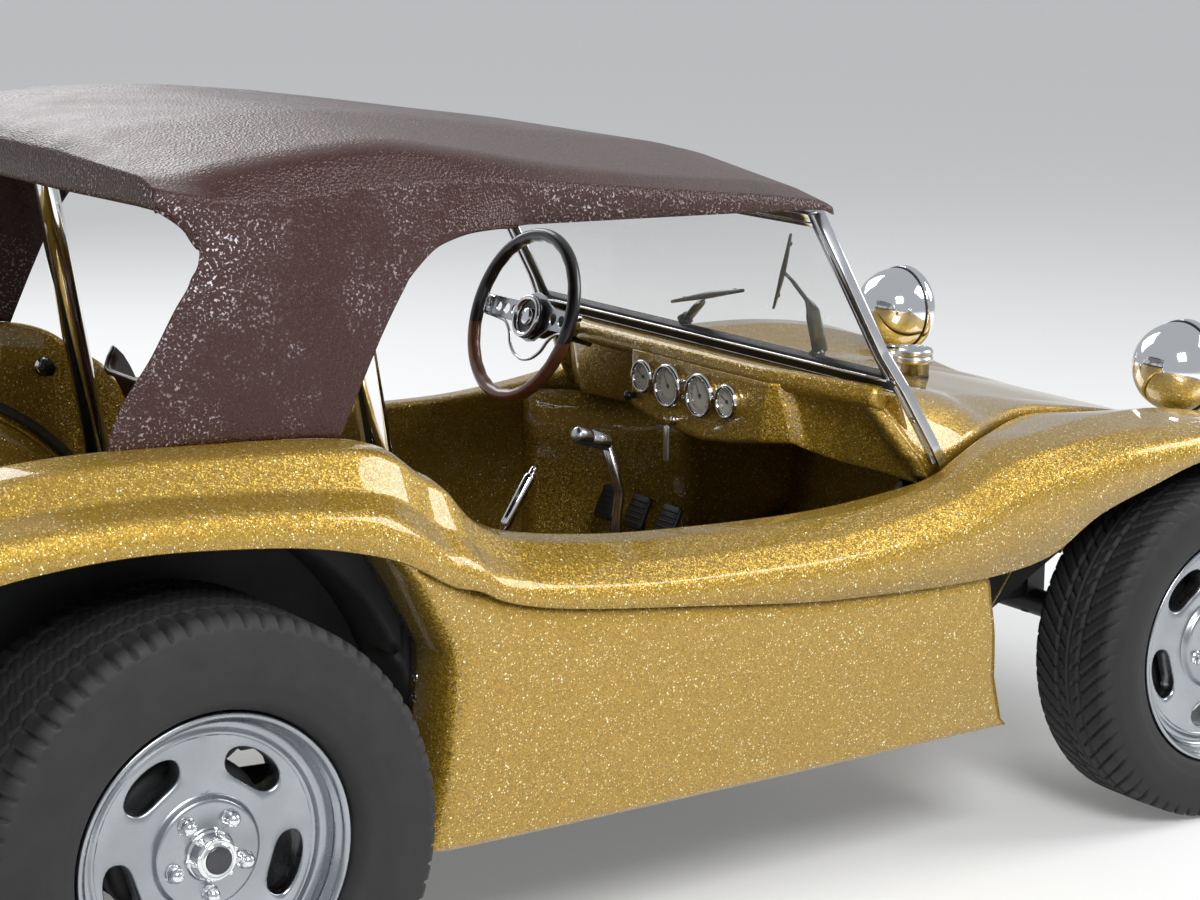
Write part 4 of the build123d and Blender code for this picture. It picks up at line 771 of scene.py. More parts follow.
def wheel_rim(name, x, side, half_track, width, tyre_r):
    """A rim of lip, step rings, slotted face and hub as one casting, its drum, cap and nuts."""
    s, back = half_track + width / 2 - RIM_INSET, RIM_INSET - width
    ring = [(FACE_OUT, 0), (168, 2.2), (172, 2.2), (174, -0.6), (181, -0.6), (186, 1.5), (188.5, 6),
            (190, 16), (191.5, 27), (196.5, 29), (198, 35), (199.5, 39), (203, 41.4), (206.5, 41.4),
            (208, 39), (208, 30), (198, 27), (190, 14), (189, back + 26), (202, back + 12), (208, back + 8),
            (208, back + 1), (205, back), (200, back + 8), (186, back + 22), (184, 4 - WEB), (FACE_OUT, -WEB)]
    hub = [(FACE_IN, 0), (81, 1.5), (79, 8), (76, 10.5), (72, 11), (40, 11), (38, 12), (36.5, 14)]
    rear = [(FACE_IN, -WEB), (64, -WEB - 2), (62, -52), (24.1, -52), (24.1, -20), (0.5, -19)]
    axes, at, body = sideways(side), (x, side * s, tyre_r), f"wheel_{name}"
    joined(f"brake_drum_{name}", [spun([(50, -98), (50, -53), (112, -53), (122, -57), (124, -62), (124, -95),
                                        (120, -98), (50, -98)], at, axes, 64)], BLACK_IRON, body=body)
    joined(f"slot_rim_{name}", [spun(profile, at, axes, 96) for profile in (ring, hub, rear)], WHEEL_METAL,
           f"rim_{name}", body, loose=[slotted_face(x, side, s, tyre_r)])
    joined(f"cone_cap_{name}", [spun(
        [(36.5, 11), (36.5, 15), (35, 17), (33.5, 17.5), (32.5, 20), (31.5, 34), (30.5, 37), (28, 39),
         (24.5, 39.5), (24, 38.5), (23.5, 39.5), (21, 41), (0.4, 41.4)], at, axes, 64)], CHROME, body=body)
    joined(f"cap_disc_{name}", [spun([(20, 41.0), (19.6, 42.6), (18, 43.2), (0.3, 43.8)], at, axes, 48)],
           DARK_CHROME, body=body)
    nut = [(13.5, 10.8), (13.5, 12.5), (11.5, 13), (11.3, 22), (10.2, 25), (7.5, 28.5), (4, 30.6),
           (0.3, 31.2)]
    pin, nuts = [(3.2, 36), (3.2, 40), (2.2, 41), (0.2, 41.2)], []
    for k in range(SLOTS):
        turn = -pi / 2 + k * 2 * pi / SLOTS
        for radius, angle, profile, steps in ((57, turn, nut, 24), (29.3, turn + 0.704, pin, 12)):
            middle = (x + radius * cos(angle), side * s, tyre_r + radius * sin(angle))
            nuts.append(spun(profile, middle, axes, steps))
    joined(f"acorn_nuts_{name}", nuts, CHROME, body=body)


for wheel in WHEELS:
    wheel_rim(*wheel[:6])


# Tyres: black radial rubber. The rear tread has zigzag grooves between ribs and open shoulder
# blocks, the front one long slanting cuts across straight grooves; the sides stay plain.
RUBBER, tree, bsdf = shader("tyre rubber", "tyre", Specular_IOR_Level=0.35)
soil = cloud(tree, 26, 8)
feed(bsdf, {"Base Color": blend(tree, soil, (0.010, 0.010, 0.0105, 1), (0.027, 0.0265, 0.026, 1)),
            "Roughness": scaled(tree, soil, 0.48, 0.78)})


def groove(distance, half_width, edge=1.3):
    """1 inside a cut of that half width, falling to 0 over the edge on both sides."""
    return np.clip((half_width + edge - np.abs(distance)) / edge, 0, 1)


def rear_cuts(turn, w, tread, r):
    """Four zigzag grooves round the tyre, fine slanting sipes on the ribs, shoulder slots."""
    pitch = 2 * pi / 76
    saw = np.abs((turn / pitch) % 1 - 0.5) * 4 - 1
    cuts = np.zeros(np.broadcast(turn, w).shape)
    for at in (-0.58, -0.2, 0.2, 0.58):
        cuts = np.maximum(cuts, groove(w - at * tread / 2 - 5.5 * saw, 2.6))
    sipe = ((turn / pitch * 2 + w / 26.0) % 1 - 0.5) * pitch / 2 * r
    cuts = np.maximum(cuts, 0.45 * groove(sipe, 0.9) * (np.abs(w) < 0.52 * tread / 2))
    slot = ((turn / pitch) % 1 - 0.5) * pitch * r
    return np.maximum(cuts, groove(slot, 2.6) * (np.abs(w) > 0.70 * tread / 2))


def front_cuts(turn, w, tread, r):
    """Two straight grooves and slanting cuts that meet the middle rib as arrows."""
    pitch = 2 * pi / 64
    cuts = np.zeros(np.broadcast(turn, w).shape)
    for at in (-0.32, 0.32):
        cuts = np.maximum(cuts, groove(w - at * tread / 2, 3.4))
    slant = ((turn / pitch + np.abs(w) / 34.0) % 1 - 0.5) * pitch * r
    cuts = np.maximum(cuts, groove(slant, 2.0) * (np.abs(w) > 0.10 * tread / 2))
    return np.maximum(cuts, 0.5 * groove(w, 1.1))


TREAD_DEPTH = 6.5


def tyre(name, x, side, half_track, width, tyre_r, tyre_width):
    """A side-to-side profile turned about the axle, cut inwards where the tread's pattern is."""
    tread = tyre_width - 40
    seat = width / 2 - 14
    side_r = RIM_R + (tyre_r - RIM_R) * 0.45
    wall = [(seat, RIM_R + 0.5), (seat + 10, RIM_R + 3), (tyre_width / 2 - 6, RIM_R + 22),
            (tyre_width / 2, side_r), (tyre_width / 2 - 3, side_r + 26), (tread / 2 + 11, tyre_r - 20),
            (tread / 2 + 4, tyre_r - 8), (tread / 2 - 6, tyre_r - 1.5)]
    outer = smooth_line(wall, 30)
    crown_w = np.linspace(-tread / 2 + 6, tread / 2 - 6, 62)[1:-1]
    crown = np.column_stack([crown_w, tyre_r - 1.5 * (crown_w / (tread / 2)) ** 2])
    inner = outer * [-1, 1]
    profile = np.concatenate([inner, crown, outer[::-1]])
    turn = circle(620)[None, :]
    w, r = profile[:, :1], profile[:, 1:] + 0 * turn
    on_tread = np.clip((profile[:, 1:] - (tyre_r - 21)) / 10, 0, 1)
    cuts = rear_cuts if x == REAR_X else front_cuts
    r = r - TREAD_DEPTH * cuts(turn, w, tread, tyre_r) * on_tread
    for share in (0.30, 0.36, 0.88):
        bead_r = RIM_R + (tyre_r - RIM_R) * share
        w = w + np.sign(w) * 1.1 * np.exp(-((r[:, :1] - bead_r) / 1.6) ** 2) * (np.abs(w) > seat + 6)
    grid = np.stack([x + r * np.cos(turn), side * half_track + w + 0 * turn, tyre_r + r * np.sin(turn)], -1)
    surface(f"tyre_tread_{name}", grid, RUBBER, f"tyre_{name}", body=f"wheel_{name}", wrap_columns=True)


for wheel in WHEELS:
    tyre(*wheel)


# Windshield: a leaned-back aluminium frame of grooved channel, whose posts run down beside the
# cowl, a black rubber sill with a bright bead, and clear glass. Places are (across, up, ahead).
GLASS_LEAN = radians(29.2)
GLASS_FOOT = np.array([REAR_X + 1394, 0, 820])
GLASS_AXES = np.array([(0, 1, 0), (-sin(GLASS_LEAN), 0, cos(GLASS_LEAN)),
                       (cos(GLASS_LEAN), 0, sin(GLASS_LEAN))])
GLASS_H = 348
UNIT = np.eye(3)


def tangents(path):
    """Unit directions along a path."""
    way = np.gradient(path, axis=0)
    return way / np.linalg.norm(way, axis=1)[:, None]


def rod(path, radius, steps=16, flat=1.0):
    """Rings along a path, each square to it and closed at both ends. A ring's first axis is
    the last ring's one made square again, so it doesn't twist; `flat` thins its second."""
    path = np.asarray(path, float)
    radius = np.broadcast_to(np.asarray(radius, float), len(path))
    way = tangents(path)
    first = np.cross(way[0], (0.0, 1.0, 0.0) if abs(way[0][1]) < 0.9 else (1.0, 0.0, 0.0))
    turn = circle(steps)[:, None]
    rings = []
    for at, r, along in zip(path, radius, way):
        first = first - along * (first @ along)
        first /= np.linalg.norm(first)
        rings.append(r * (np.cos(turn) * first + flat * np.sin(turn) * np.cross(along, first)))
    ends = [path[0] + rings[0] * 0.01, path[0] + rings[0] * 0.85]
    tail = [path[-1] + rings[-1] * 0.85, path[-1] + rings[-1] * 0.01]
    return np.array(ends + [at + ring for at, ring in zip(path, rings)] + tail)


def bent(points, radius, steps=8):
    """A path through points with its inner corners rounded."""
    return round_corners(np.array([points], float), [radius] * (len(points) - 2), steps)[0]


def slab(outline, at, axes, depth, edge=1.5):
    """A closed plate: an outline that runs anticlockwise in a frame's first two axes, pushed
    along the third, its rims eased by `edge`. Both faces close on the outline's middle."""
    outline = np.asarray(outline, float)
    step = np.roll(outline, -1, 0) - np.roll(outline, 1, 0)
    outward = np.column_stack([step[:, 1], -step[:, 0]]) / np.linalg.norm(step, axis=1)[:, None]
    middle = outline.mean(0)
    rows = []
    for inset, high in ((None, 0), (1, 0), (0.3, 0.3), (0, 1), (0, -1), (0.3, -0.3), (1, depth),
                        (None, depth)):
        flat = middle + (outline - middle) * 0.001 if inset is None else outline - outward * edge * inset
        level = high if high in (0, depth) else (edge * high if high > 0 else depth + edge * high)
        rows.append(np.asarray(at, float) + flat @ axes[:2] + level * axes[2])
    return np.array(rows)


def round_rect(half_w, half_h, r, steps=5, at=(0, 0)):
    """A rounded rectangle's outline, anticlockwise."""
    turn = np.linspace(0, pi / 2, steps)
    corners = [(half_w - r, half_h - r), (r - half_w, half_h - r), (r - half_w, r - half_h),
               (half_w - r, r - half_h)]
    arcs = [np.column_stack([cx + r * np.cos(turn + k * pi / 2), cy + r * np.sin(turn + k * pi / 2)])
            for k, (cx, cy) in enumerate(corners)]
    return np.concatenate(arcs) + at


BLACK_TRIM = plain("black trim", "black_trim", (0.012, 0.012, 0.013, 1), 0.22, 0.12, coat=0.3)
BLACK_RUBBER = plain("black rubber", "black_trim", (0.014, 0.014, 0.014, 1), 0.4, 0.2)
CLEAR = shader("clear glass", "clear_glass", Base_Color=(0.75, 0.82, 0.79, 1), Roughness=0.02, Alpha=0.10,
               Coat_Weight=0.4)[0]
CHANNEL = round_corners(np.array([[(0, 9), (-13, 9), (-13, -9), (-5, -9), (-5, -6), (5, -6), (5, -9),
                                   (13, -9), (13, 9), (0, 9)]], float), [3, 2, 0.8, 0.8, 0.8, 0.8, 2, 3],
                        4)[0][:-1]


def on_glass(points):
    """Points (across, up, ahead) of the windshield's plane in the car's frame."""
    return GLASS_FOOT + np.asarray(points, float) @ GLASS_AXES


def channel(name, path, section, finish):
    """A section carried along a path in the windshield's plane, square to it, with shut ends."""
    path = np.asarray(path, float)
    way = tangents(path)
    across = np.column_stack([way[:, 1], -way[:, 0]])
    rows = [np.column_stack([at + out * section[:, :1], section[:, 1]]) for at, out in zip(path, across)]
    ends = [np.column_stack([path[k] + across[k] * section[:, :1] * 0.01, section[:, 1] * 0.01])
            for k in (0, -1)]
    joined(name, [on_glass(np.array([ends[0]] + rows + [ends[1]]))], finish, "windshield_frame")


sill_section = round_corners(np.array([[(0, 10), (-17, 10), (-17, -6), (-9, -11), (12, -11), (17, -5),
                                        (17, 10), (0, 10)]], float), [4, 4, 3, 4, 4, 4], 5)[0][:-1]
sill_path = [(u, 8) for u in np.linspace(-538, 538, 30)]
channel("windshield_sill", sill_path, sill_section, BLACK_RUBBER)
joined("sill_bead", [rod(on_glass([(u, 21, -11.5) for u in np.linspace(-530, 530, 20)]), 2.4, 10),
                     rod(on_glass([(u, 0, -11) for u in np.linspace(-536, 536, 20)]), 1.6, 10)], CHROME)
channel("windshield_header", [(u, GLASS_H - 13) for u in np.linspace(-505, 505, 20)], CHANNEL, POLISHED)
for side, name in SIDES:
    post = bent([(559, -150), (559, -116), (545, 0), (528, 70), (519, GLASS_H)], 60, 9) * [side, 1]
    channel(f"windshield_post_{name}", post, CHANNEL, POLISHED)
joined("post_screws", [spun([(0.2, 0), (4.6, 0), (4.6, 1.2), (3.2, 2.6), (0.2, 3.2)],
                            on_glass([(side * (559 - 0.12 * (up + 116)), up, -8)])[0],
                            GLASS_AXES * [[1], [1], [-1]], 16) for side in (-1, 1) for up in (-60, 18)],
       CHROME)
gasket_half = [(516, 16), (537, 16), (512, GLASS_H - 16), (501, GLASS_H - 16)]
joined("windshield_gasket", [slab([(side * a, b) for a, b in gasket_half][::side], on_glass([(0, 0, -7)])[0],
                                  GLASS_AXES, 12) for side in (-1, 1)], BLACK_RUBBER, "windshield_frame")
pane_outline = [(-526, 24), (526, 24), (508, GLASS_H - 24), (-508, GLASS_H - 24)]
pane = joined("windshield_pane", [slab(pane_outline, on_glass([(0, 0, -2)])[0], GLASS_AXES, 4, 0.8)], CLEAR,
              "windshield_glass")
pane.data.shade_flat()

# Wipers: black arms that bow up from spindles before the glass to spring-backed blades, the
# near one parked upright and the far one low across the glass.
for name, foot, elbow, blade_ends in (
        ("left", (-318, 20), (-346, 120), ((-246, 106), (-398, 280))),
        ("right", (64, 30), (10, 66), ((84, 66), (-176, 132)))):
    start, end = np.array(blade_ends, float)
    middle = (start + end) / 2
    arm = bent([(*foot, 20), (*elbow, 24), (*(middle * 0.7 + np.array(elbow) * 0.3), 20), (*middle, 15)], 60)
    blade = [(*(start + (end - start) * t), 12.5 + 3 * np.sin(pi * t)) for t in np.linspace(0, 1, 14)]
    spindle = spun([(0.2, 7), (7, 7), (12, 4), (13, -2), (13, -12), (0.2, -12)], on_glass([(*foot, 16)])[0],
                   GLASS_AXES, 20)
    clips = [rod(on_glass([(*(start + (end - start) * t), 17) for t in (at, at + 0.02)]), 4, 8)
             for at in (0.15, 0.5, 0.85)]
    joined(f"wiper_arm_{name}", [
        rod(on_glass(arm), np.interp(np.linspace(0, 1, len(arm)), (0, 0.42, 1), (17, 4.5, 3.2)), 12, 0.45),
        rod(on_glass(blade), np.interp(np.linspace(0, 1, 14), (0, 0.5, 1), (3, 6.5, 3)), 12, 0.7),
        spindle] + clips, BLACK_TRIM, f"wiper_{name}")


# Cowl edge and dash: the cowl rolls over behind the windshield; under it the moulded face
# stands out into an instrument pod, with deep trays on both sides and a curved lower edge.
rear_ring = hood_grid[0]
run = np.concatenate([[0], np.cumsum(np.linalg.norm(np.diff(rear_ring, axis=0), axis=1))])
even = np.linspace(0, run[-1], 160)
rear_ring = np.column_stack([np.interp(even, run, rear_ring[:, k]) for k in range(3)])
step = np.gradient(rear_ring[:, 1:], axis=0)
inward = np.column_stack([-step[:, 1], step[:, 0]]) / np.linalg.norm(step, axis=1)[:, None]
reach = 34 + 16 * np.clip((800 - rear_ring[:, 2]) / 50, 0, 1)
edge_grid = []
for t in np.linspace(0, 1, 12):
    ring = rear_ring[:, 1:] + inward * (reach * t ** 1.3)[:, None]
    edge_grid.append(np.column_stack([rear_ring[:, 0] - 15 * np.sin(pi * min(t * 1.15, 1)) ** 0.8, ring]))
surface("cowl_edge", edge_grid, GOLD, "hood_cowl", (x_hood[0] + 200, 0, 700), 4)

# Rows are y, then x at the top and at the foot of the dash face.
DASH_PLAN = np.array([(-522, 1404, 1452), (-415, 1366, 1400), (-330, 1328, 1362), (-312, 1308, 1330),
                      (-302, 1300, 1296), (-120, 1297, 1292), (104, 1300, 1296), (128, 1320, 1390),
                      (415, 1366, 1396), (522, 1404, 1452)], float)
FOOT_SHIFT = np.array([0, 35, -8, -18, 18, 0, 0, 12, 0, 0])
DASH_FOOT = np.array([(-540, 648), (-450, 660), (-380, 667), (-338, 684), (-330, 700), (-284, 697),
                      (-200, 682), (-110, 673), (20, 682), (104, 700), (140, 674), (300, 668), (450, 662),
                      (540, 648)], float)
tops = np.column_stack([DASH_PLAN[:, 0], DASH_PLAN[:, 1]])
feet = np.column_stack([DASH_PLAN[:, 0] + FOOT_SHIFT, DASH_PLAN[:, 2]])
top_line, foot_plan = round_corners(np.array([tops, feet]), [60, 10, 4, 4, 260, 14, 18, 60], 7)
dense = [np.linspace(k, k + 1, max(2, int(np.linalg.norm(b - a) / 12)), endpoint=False)
         for k, (a, b) in enumerate(zip(foot_plan, foot_plan[1:]))]
dense = np.append(np.concatenate(dense), len(foot_plan) - 1)
place = np.arange(len(foot_plan))
top_line, foot_plan = (np.column_stack([np.interp(dense, place, line[:, k]) for k in (0, 1)])
                       for line in (top_line, foot_plan))
foot_line = read(DASH_FOOT, foot_plan[:, 0])
face_rows = []
for t in np.linspace(0, 1, 18):
    flat = top_line + (foot_plan - top_line) * t ** 0.8
    face_rows.append(np.column_stack([REAR_X + flat[:, 1], flat[:, 0], 800 + (foot_line - 800) * t]))
for out, down in ((4, 5), (12, 7), (30, 7)):
    face_rows.append(np.column_stack([REAR_X + foot_plan[:, 1] + out, foot_plan[:, 0], foot_line - down]))
surface("dash_face", face_rows, GOLD, "dash_panel", (REAR_X + 1700, 0, 750), 4)
roll_line = smooth_line([(REAR_X + x, y, z) for y, x, z in
                         ((-508, 1384, 800), (-400, 1352, 802), (-250, 1326, 803), (0, 1319, 804),
                          (250, 1326, 803), (400, 1352, 802), (508, 1384, 800))], 60)
joined("dash_roll", [rod(roll_line, 20, 24)], GOLD, "dash_panel")

# Gauges: cream faces with black scales and pointers under glass in chrome bezels, small lamps
# between them, a pull knob, and the ignition lock with its key and a hanging strap.
GAUGES = [(54, 757, 27, 8), (-24, 752, 36, 12), (-121, 750, 36, 12), (-201, 752, 27, 8)]
REARWARD = np.array([(0, -1, 0), (0, 0, 1), (-1, 0, 0)], float)
CREAM = plain("cream gauge face", "chrome", (0.72, 0.68, 0.56, 1), 0.35, 0.1, darker=0.12)
INK = plain("black ink", "black_trim", (0.01, 0.01, 0.01, 1), 0.5)
face_x = REAR_X + 1291


def dial_axes(degrees):
    """A frame on a dial whose first axis points at that angle, seen from the seats."""
    turn = radians(degrees)
    return np.array([(0, -cos(turn), sin(turn)), (0, sin(turn), cos(turn)), (-1, 0, 0)])


bezels, faces, marks = [], [], []
for y, z, r, ticks in GAUGES:
    at = np.array([face_x, y, z])
    bezels.append(spun([(r - 4, 1), (r - 4, 6), (r - 2, 9), (r + 1, 9.5), (r + 3.6, 7), (r + 4, 3),
                        (r + 4, -14), (r - 4, -14), (r - 4, 1)], at, REARWARD, 48))
    faces.append(spun([(r - 3, -6), (r - 3, 1.5), (r * 0.5, 1.8), (0.1, 1.8)], at, REARWARD, 40))
    for k in range(ticks * 2 + 1):
        axes = dial_axes(225 - 270 * k / (ticks * 2))
        long, wide = (r * 0.16, 1.0) if k % 2 == 0 else (r * 0.09, 0.5)
        marks.append(slab([(-long, -wide / 2), (0, -wide / 2), (0, wide / 2), (-long, wide / 2)],
                          at + axes[0] * (r - 7) + axes[2] * 1.7, axes, 0.4, 0.1))
    axes = dial_axes(120 if r > 30 else 150)
    marks.append(slab([(-6, -1.2), (r * 0.7, -0.3), (r * 0.7, 0.3), (-6, 1.2)], at + axes[2] * 2.6, axes, 0.6,
                      0.1))
    marks.append(spun([(3.6, 1.8), (3.6, 3.4), (0.1, 3.8)], at, REARWARD, 16))
joined("gauge_bezels", bezels + [
    spun([(4.6, -4), (4.6, 2), (3.4, 5), (0.1, 6)], (face_x, y, z), REARWARD, 14)
    for y, z in ((15, 755), (-70, 768), (-72, 738), (-163, 752))], CHROME, "gauges")
joined("gauge_faces", faces, CREAM)
joined("gauge_marks", marks, INK).data.shade_flat()
joined("gauge_glass", [spun([(r - 4.2, 5.5), (r * 0.6, 7), (0.1, 7.6)], (face_x, y, z), REARWARD, 32)
                       for y, z, r, ticks in GAUGES], CLEAR)
joined("ignition_lock", [spun([(9, -6), (9, 5), (7, 8), (0.1, 8)], (face_x, -41, 692), REARWARD, 24),
                         slab(round_rect(3, 8, 2), (face_x - 8, -41, 692), REARWARD, 14, 0.6)], CHROME,
       "gauges")
STRAP = metal("worn white metal", "chrome", (0.80, 0.80, 0.78, 1), 0.25, 0.2)
joined("key_strap", [slab(round_rect(8, 34, 5), (face_x - 15, -41, 651), REARWARD, 3, 1)], STRAP)
joined("dash_knob", [spun([(6.5, -3), (6.5, 3), (5.5, 5), (9, 9), (9, 15), (6, 17), (0.1, 17.5)],
                          (REAR_X + 1294, 92, 716), REARWARD, 20)], BLACK_TRIM)

# Steering: a wheel dark above and orange-brown wood below, on a flat polished plate with three
# holes a side and a thin loop under it, on a black column with a stalk.
WHEEL_CENTRE = np.array([REAR_X + 1220, 350, 835])
COLUMN_DROP = radians(19)
WHEEL_AXES = np.array([(0, -1, 0), (sin(COLUMN_DROP), 0, cos(COLUMN_DROP)),
                       (-cos(COLUMN_DROP), 0, sin(COLUMN_DROP))])
WHEEL_R, RING_R = 156, 12.6


def cut_plate(name, outline, holes, at, axes, depth, edge, finish, node, body):
    """A flat plate with holes: filled flat curves, thickened with eased rims, then a mesh."""
    curve = bpy.data.curves.new(name, "CURVE")
    curve.dimensions = "2D"
    curve.fill_mode = "BOTH"
    for loop in [outline] + list(holes):
        line = curve.splines.new("POLY")
        line.points.add(len(loop) - 1)
        line.points.foreach_set("co", [c for u, v in loop for c in (u / 1000, v / 1000, 0, 1)])
        line.use_cyclic_u = True
    curve.extrude = (depth / 2 - edge) / 1000
    curve.bevel_depth = edge / 1000
    curve.offset = -edge / 1000
    curve.bevel_resolution = 1
    shape = bpy.data.objects.new(name, curve)
    scene.collection.objects.link(shape)
    mesh = bpy.data.meshes.new_from_object(shape)
    bpy.data.objects.remove(shape)
    place = Matrix([tuple(axes[k][i] for k in range(3)) + (at[i] / 1000,) for i in range(3)] + [(0, 0, 0, 1)])
    mesh.transform(place)
    mesh.materials.clear()
    outward(mesh, 0.00002)
    settle(bpy.data.objects.new(name, mesh), finish, node, body)


WOOD, tree, bsdf = shader("dark and brown wood", "wood_rim", Coat_Weight=0.7, Coat_Roughness=0.06,
                          Roughness=0.35)
place = add(tree, "TexCoord").outputs["Object"]
stretch = add(tree, "Mapping", {"Scale": (0.25, 1.4, 1), "Vector": place}).outputs[0]
grain = add(tree, "TexNoise", {"Scale": 60, "Detail": 6, "Vector": stretch}).outputs["Fac"]
height = add(tree, "SeparateXYZ", {0: place}).outputs["Z"]
brown = blend(tree, grain, (0.36, 0.12, 0.035, 1), (0.15, 0.045, 0.014, 1))
low_half = scaled(tree, height, 0, 1, 0.806, 0.803)
feed(bsdf, {"Base Color": blend(tree, low_half, (0.012, 0.009, 0.008, 1), brown)})

turn = circle(120)[None, :, None]
round_tube = circle(20)[:, None, None]
ring_r = WHEEL_R + RING_R * np.cos(round_tube)
scallop = 0.8 * np.cos(turn * 24) * np.clip(-np.cos(round_tube), 0, 1)
rim_grid = (WHEEL_CENTRE + (ring_r + scallop) * (np.cos(turn) * WHEEL_AXES[0] + np.sin(turn) * WHEEL_AXES[1])
            + RING_R * np.sin(round_tube) * WHEEL_AXES[2])
ring = surface("steering_ring", rim_grid, WOOD, "steering_wheel", body="steering_wheel", wrap_rows=True,
               wrap_columns=True)
outward(ring.data)
around = circle(28)
half_plate = [(152, 26), (60, 27), (42, 34), (20, 46), (0, 50)]
spoke_outline = (half_plate + [(-u, v) for u, v in half_plate[-2::-1]] + [
    (-152, -14), (-60, -15), (-44, -26), (-22, -42), (0, -46), (22, -42), (44, -26), (60, -15),
    (152, -14)])[::-1]
hole_rings = [[(side * u + r * cos(a), 6 + r * sin(a)) for a in around] for side in (-1, 1)
              for u, r in ((66, 11), (94, 10.5), (121, 9))]
cut_plate("spoke_plate", spoke_outline, hole_rings, WHEEL_CENTRE - 24 * WHEEL_AXES[2], WHEEL_AXES, 4, 0.8,
          POLISHED, "steering_wheel", "steering_wheel")


def on_wheel(points):
    """Points (across, up, towards the driver) of the steering wheel's frame in the car's."""
    return WHEEL_CENTRE + np.asarray(points, float) @ WHEEL_AXES


half = [(-150, -12, -14), (-128, -14, -22), (-92, -18, -24), (-68, -34, -24), (-52, -58, -24),
        (-24, -76, -24)]
loop = smooth_line(half + [(0, -80, -24)] + [(-u, v, out) for u, v, out in half[::-1]], 70)
lugs = [slab(round_rect(7, 19, 4), on_wheel([(side * 146, 6, -26)])[0], WHEEL_AXES, 24) for side in (-1, 1)]
for name, grids, finish in (
        ("wheel_loop", [rod(on_wheel(loop), 3.2, 12)] + lugs, CHROME),
        ("wheel_hub", [spun([(30, -60), (33, -56), (34, -26), (40, -19), (42, -14), (42, -8), (38, -6),
                             (36, -10), (33, -12), (0.2, -12)], WHEEL_CENTRE, WHEEL_AXES, 48)], BLACK_TRIM),
        ("hub_ring", [spun([(41.5, -10), (41.5, -4.5), (39, -2.5), (34, -3), (30, -9), (30, -12),
                            (41.5, -12)], WHEEL_CENTRE, WHEEL_AXES, 48),
                      spun([(17, -12.5), (17, -7), (14, -4.6), (0.2, -4)], WHEEL_CENTRE, WHEEL_AXES)],
         CHROME)):
    joined(name, grids, finish, "steering_wheel", "steering_wheel")
joined("column_tube", [
    spun([(9.6, -28), (9.6, -64), (20, -66), (23.6, -70), (23.6, -110), (22, -114), (22, -362), (18, -366),
          (0.2, -366)], WHEEL_CENTRE, WHEEL_AXES),
    rod(on_wheel([(-22, 13, -84), (-60, 15, -84), (-100, 17, -84), (-118, 18, -85)]), [3.6, 3.4, 3.6, 4.2],
        12)], BLACK_TRIM, "steering_column")

# Hand and foot controls: a flat polished shift lever with a barrel handle, a chrome handbrake
# with a button in its end, and black pads on hanging pedal arms.
FLOOR_Z = 240
LEVER_X, LEVER_FOOT = REAR_X + 1196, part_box("shifter")[0][2] * 1000
lever = bent([(LEVER_X, 0, LEVER_FOOT), (LEVER_X, 0, 520), (REAR_X + 1202, 0, 562), (REAR_X + 1172, 0, 656)],
             30, 7)
bar = np.array([(0, 11), (-3.6, 11), (-4.6, 9), (-4.6, 3), (-3, 0), (-4.6, -3), (-4.6, -9), (-3.6, -11),
                (3.6, -11), (4.6, -9), (4.6, -3), (3, 0), (4.6, 3), (4.6, 9), (3.6, 11)])
side_way = np.cross(tangents(lever), (0, 1, 0))
rows = [at + bar[:, :1] * square + bar[:, 1:] * np.array([(0, 1, 0)]) for at, square in zip(lever, side_way)]
foot, tip = (lever[k] + (rows[k] - lever[k]) * 0.01 for k in (0, -1))
bar_rows = [foot] + rows + [tip]
HANDLE = np.array([(0, 1, 0), (0.3, 0, 0.954), (0.954, 0, -0.3)])
joined("shift_lever", [np.array(bar_rows), spun(
    [(0.2, -38), (12, -38), (14.5, -36), (15.5, -33), (15.5, -6), (14.6, -5), (14.6, -3), (15.5, -2),
     (15.5, 33), (14.5, 36), (12, 38), (9, 38), (8.4, 37), (0.2, 37)], (REAR_X + 1140, 0, 668), HANDLE, 12)],
       POLISHED, "shifter")
joined("shift_boot", [spun([(31, 0), (30, 3), (24, 8), (25, 12), (19, 18), (20, 22), (13, 29), (12, 33),
                            (6, 33)], (LEVER_X, 0, LEVER_FOOT + 0.5), UNIT, 28)], BLACK_RUBBER)
grip_from, grip_to = np.array([REAR_X + 846, 0, LEVER_FOOT - 4]), np.array([REAR_X + 1020, 0, 630])
share = np.array([0, 0.05, 0.5, 0.62, 0.63, 0.65, 0.93, 0.95, 0.952, 0.985, 1.0])
joined("brake_lever", [rod(grip_from + (grip_to - grip_from) * share[:, None],
                           [8.5, 8.5, 8, 7.5, 10, 10.5, 10.5, 9, 6, 6, 4.5], 20)], CHROME, "handbrake")
pedal_rods, pads, ribs = [], [], []
PEDAL_X = REAR_X + 1440
PAD_AXES = np.array([(0, 1, 0), (0.44, 0, 0.9), (-0.9, 0, 0.44)])
for y in (170, 270, 370):
    at = np.array([REAR_X + 1436, y, 440])
    pedal_rods.append(rod(bent([(PEDAL_X, y, FLOOR_Z + 3), (REAR_X + 1446, y, 330), (PEDAL_X, y, 438)], 60),
                          7, 12, 0.6))
    pads.append(slab(round_rect(29, 34, 9), at, PAD_AXES, 10, 3))
    ribs += [slab(round_rect(25, 1.6, 1.4), at + PAD_AXES[1] * v + PAD_AXES[2] * 9.4, PAD_AXES, 2.2, 0.6)
             for v in (-22, -11, 0, 11, 22)]
pedal_rods.append(rod([(PEDAL_X, y, FLOOR_Z + 24) for y in (148, 270, 392)], 9, 14))
joined("pedal_arms", pedal_rods, BLACK_TRIM, "pedals")
joined("pedal_pads", pads + ribs, BLACK_RUBBER, "pedals")
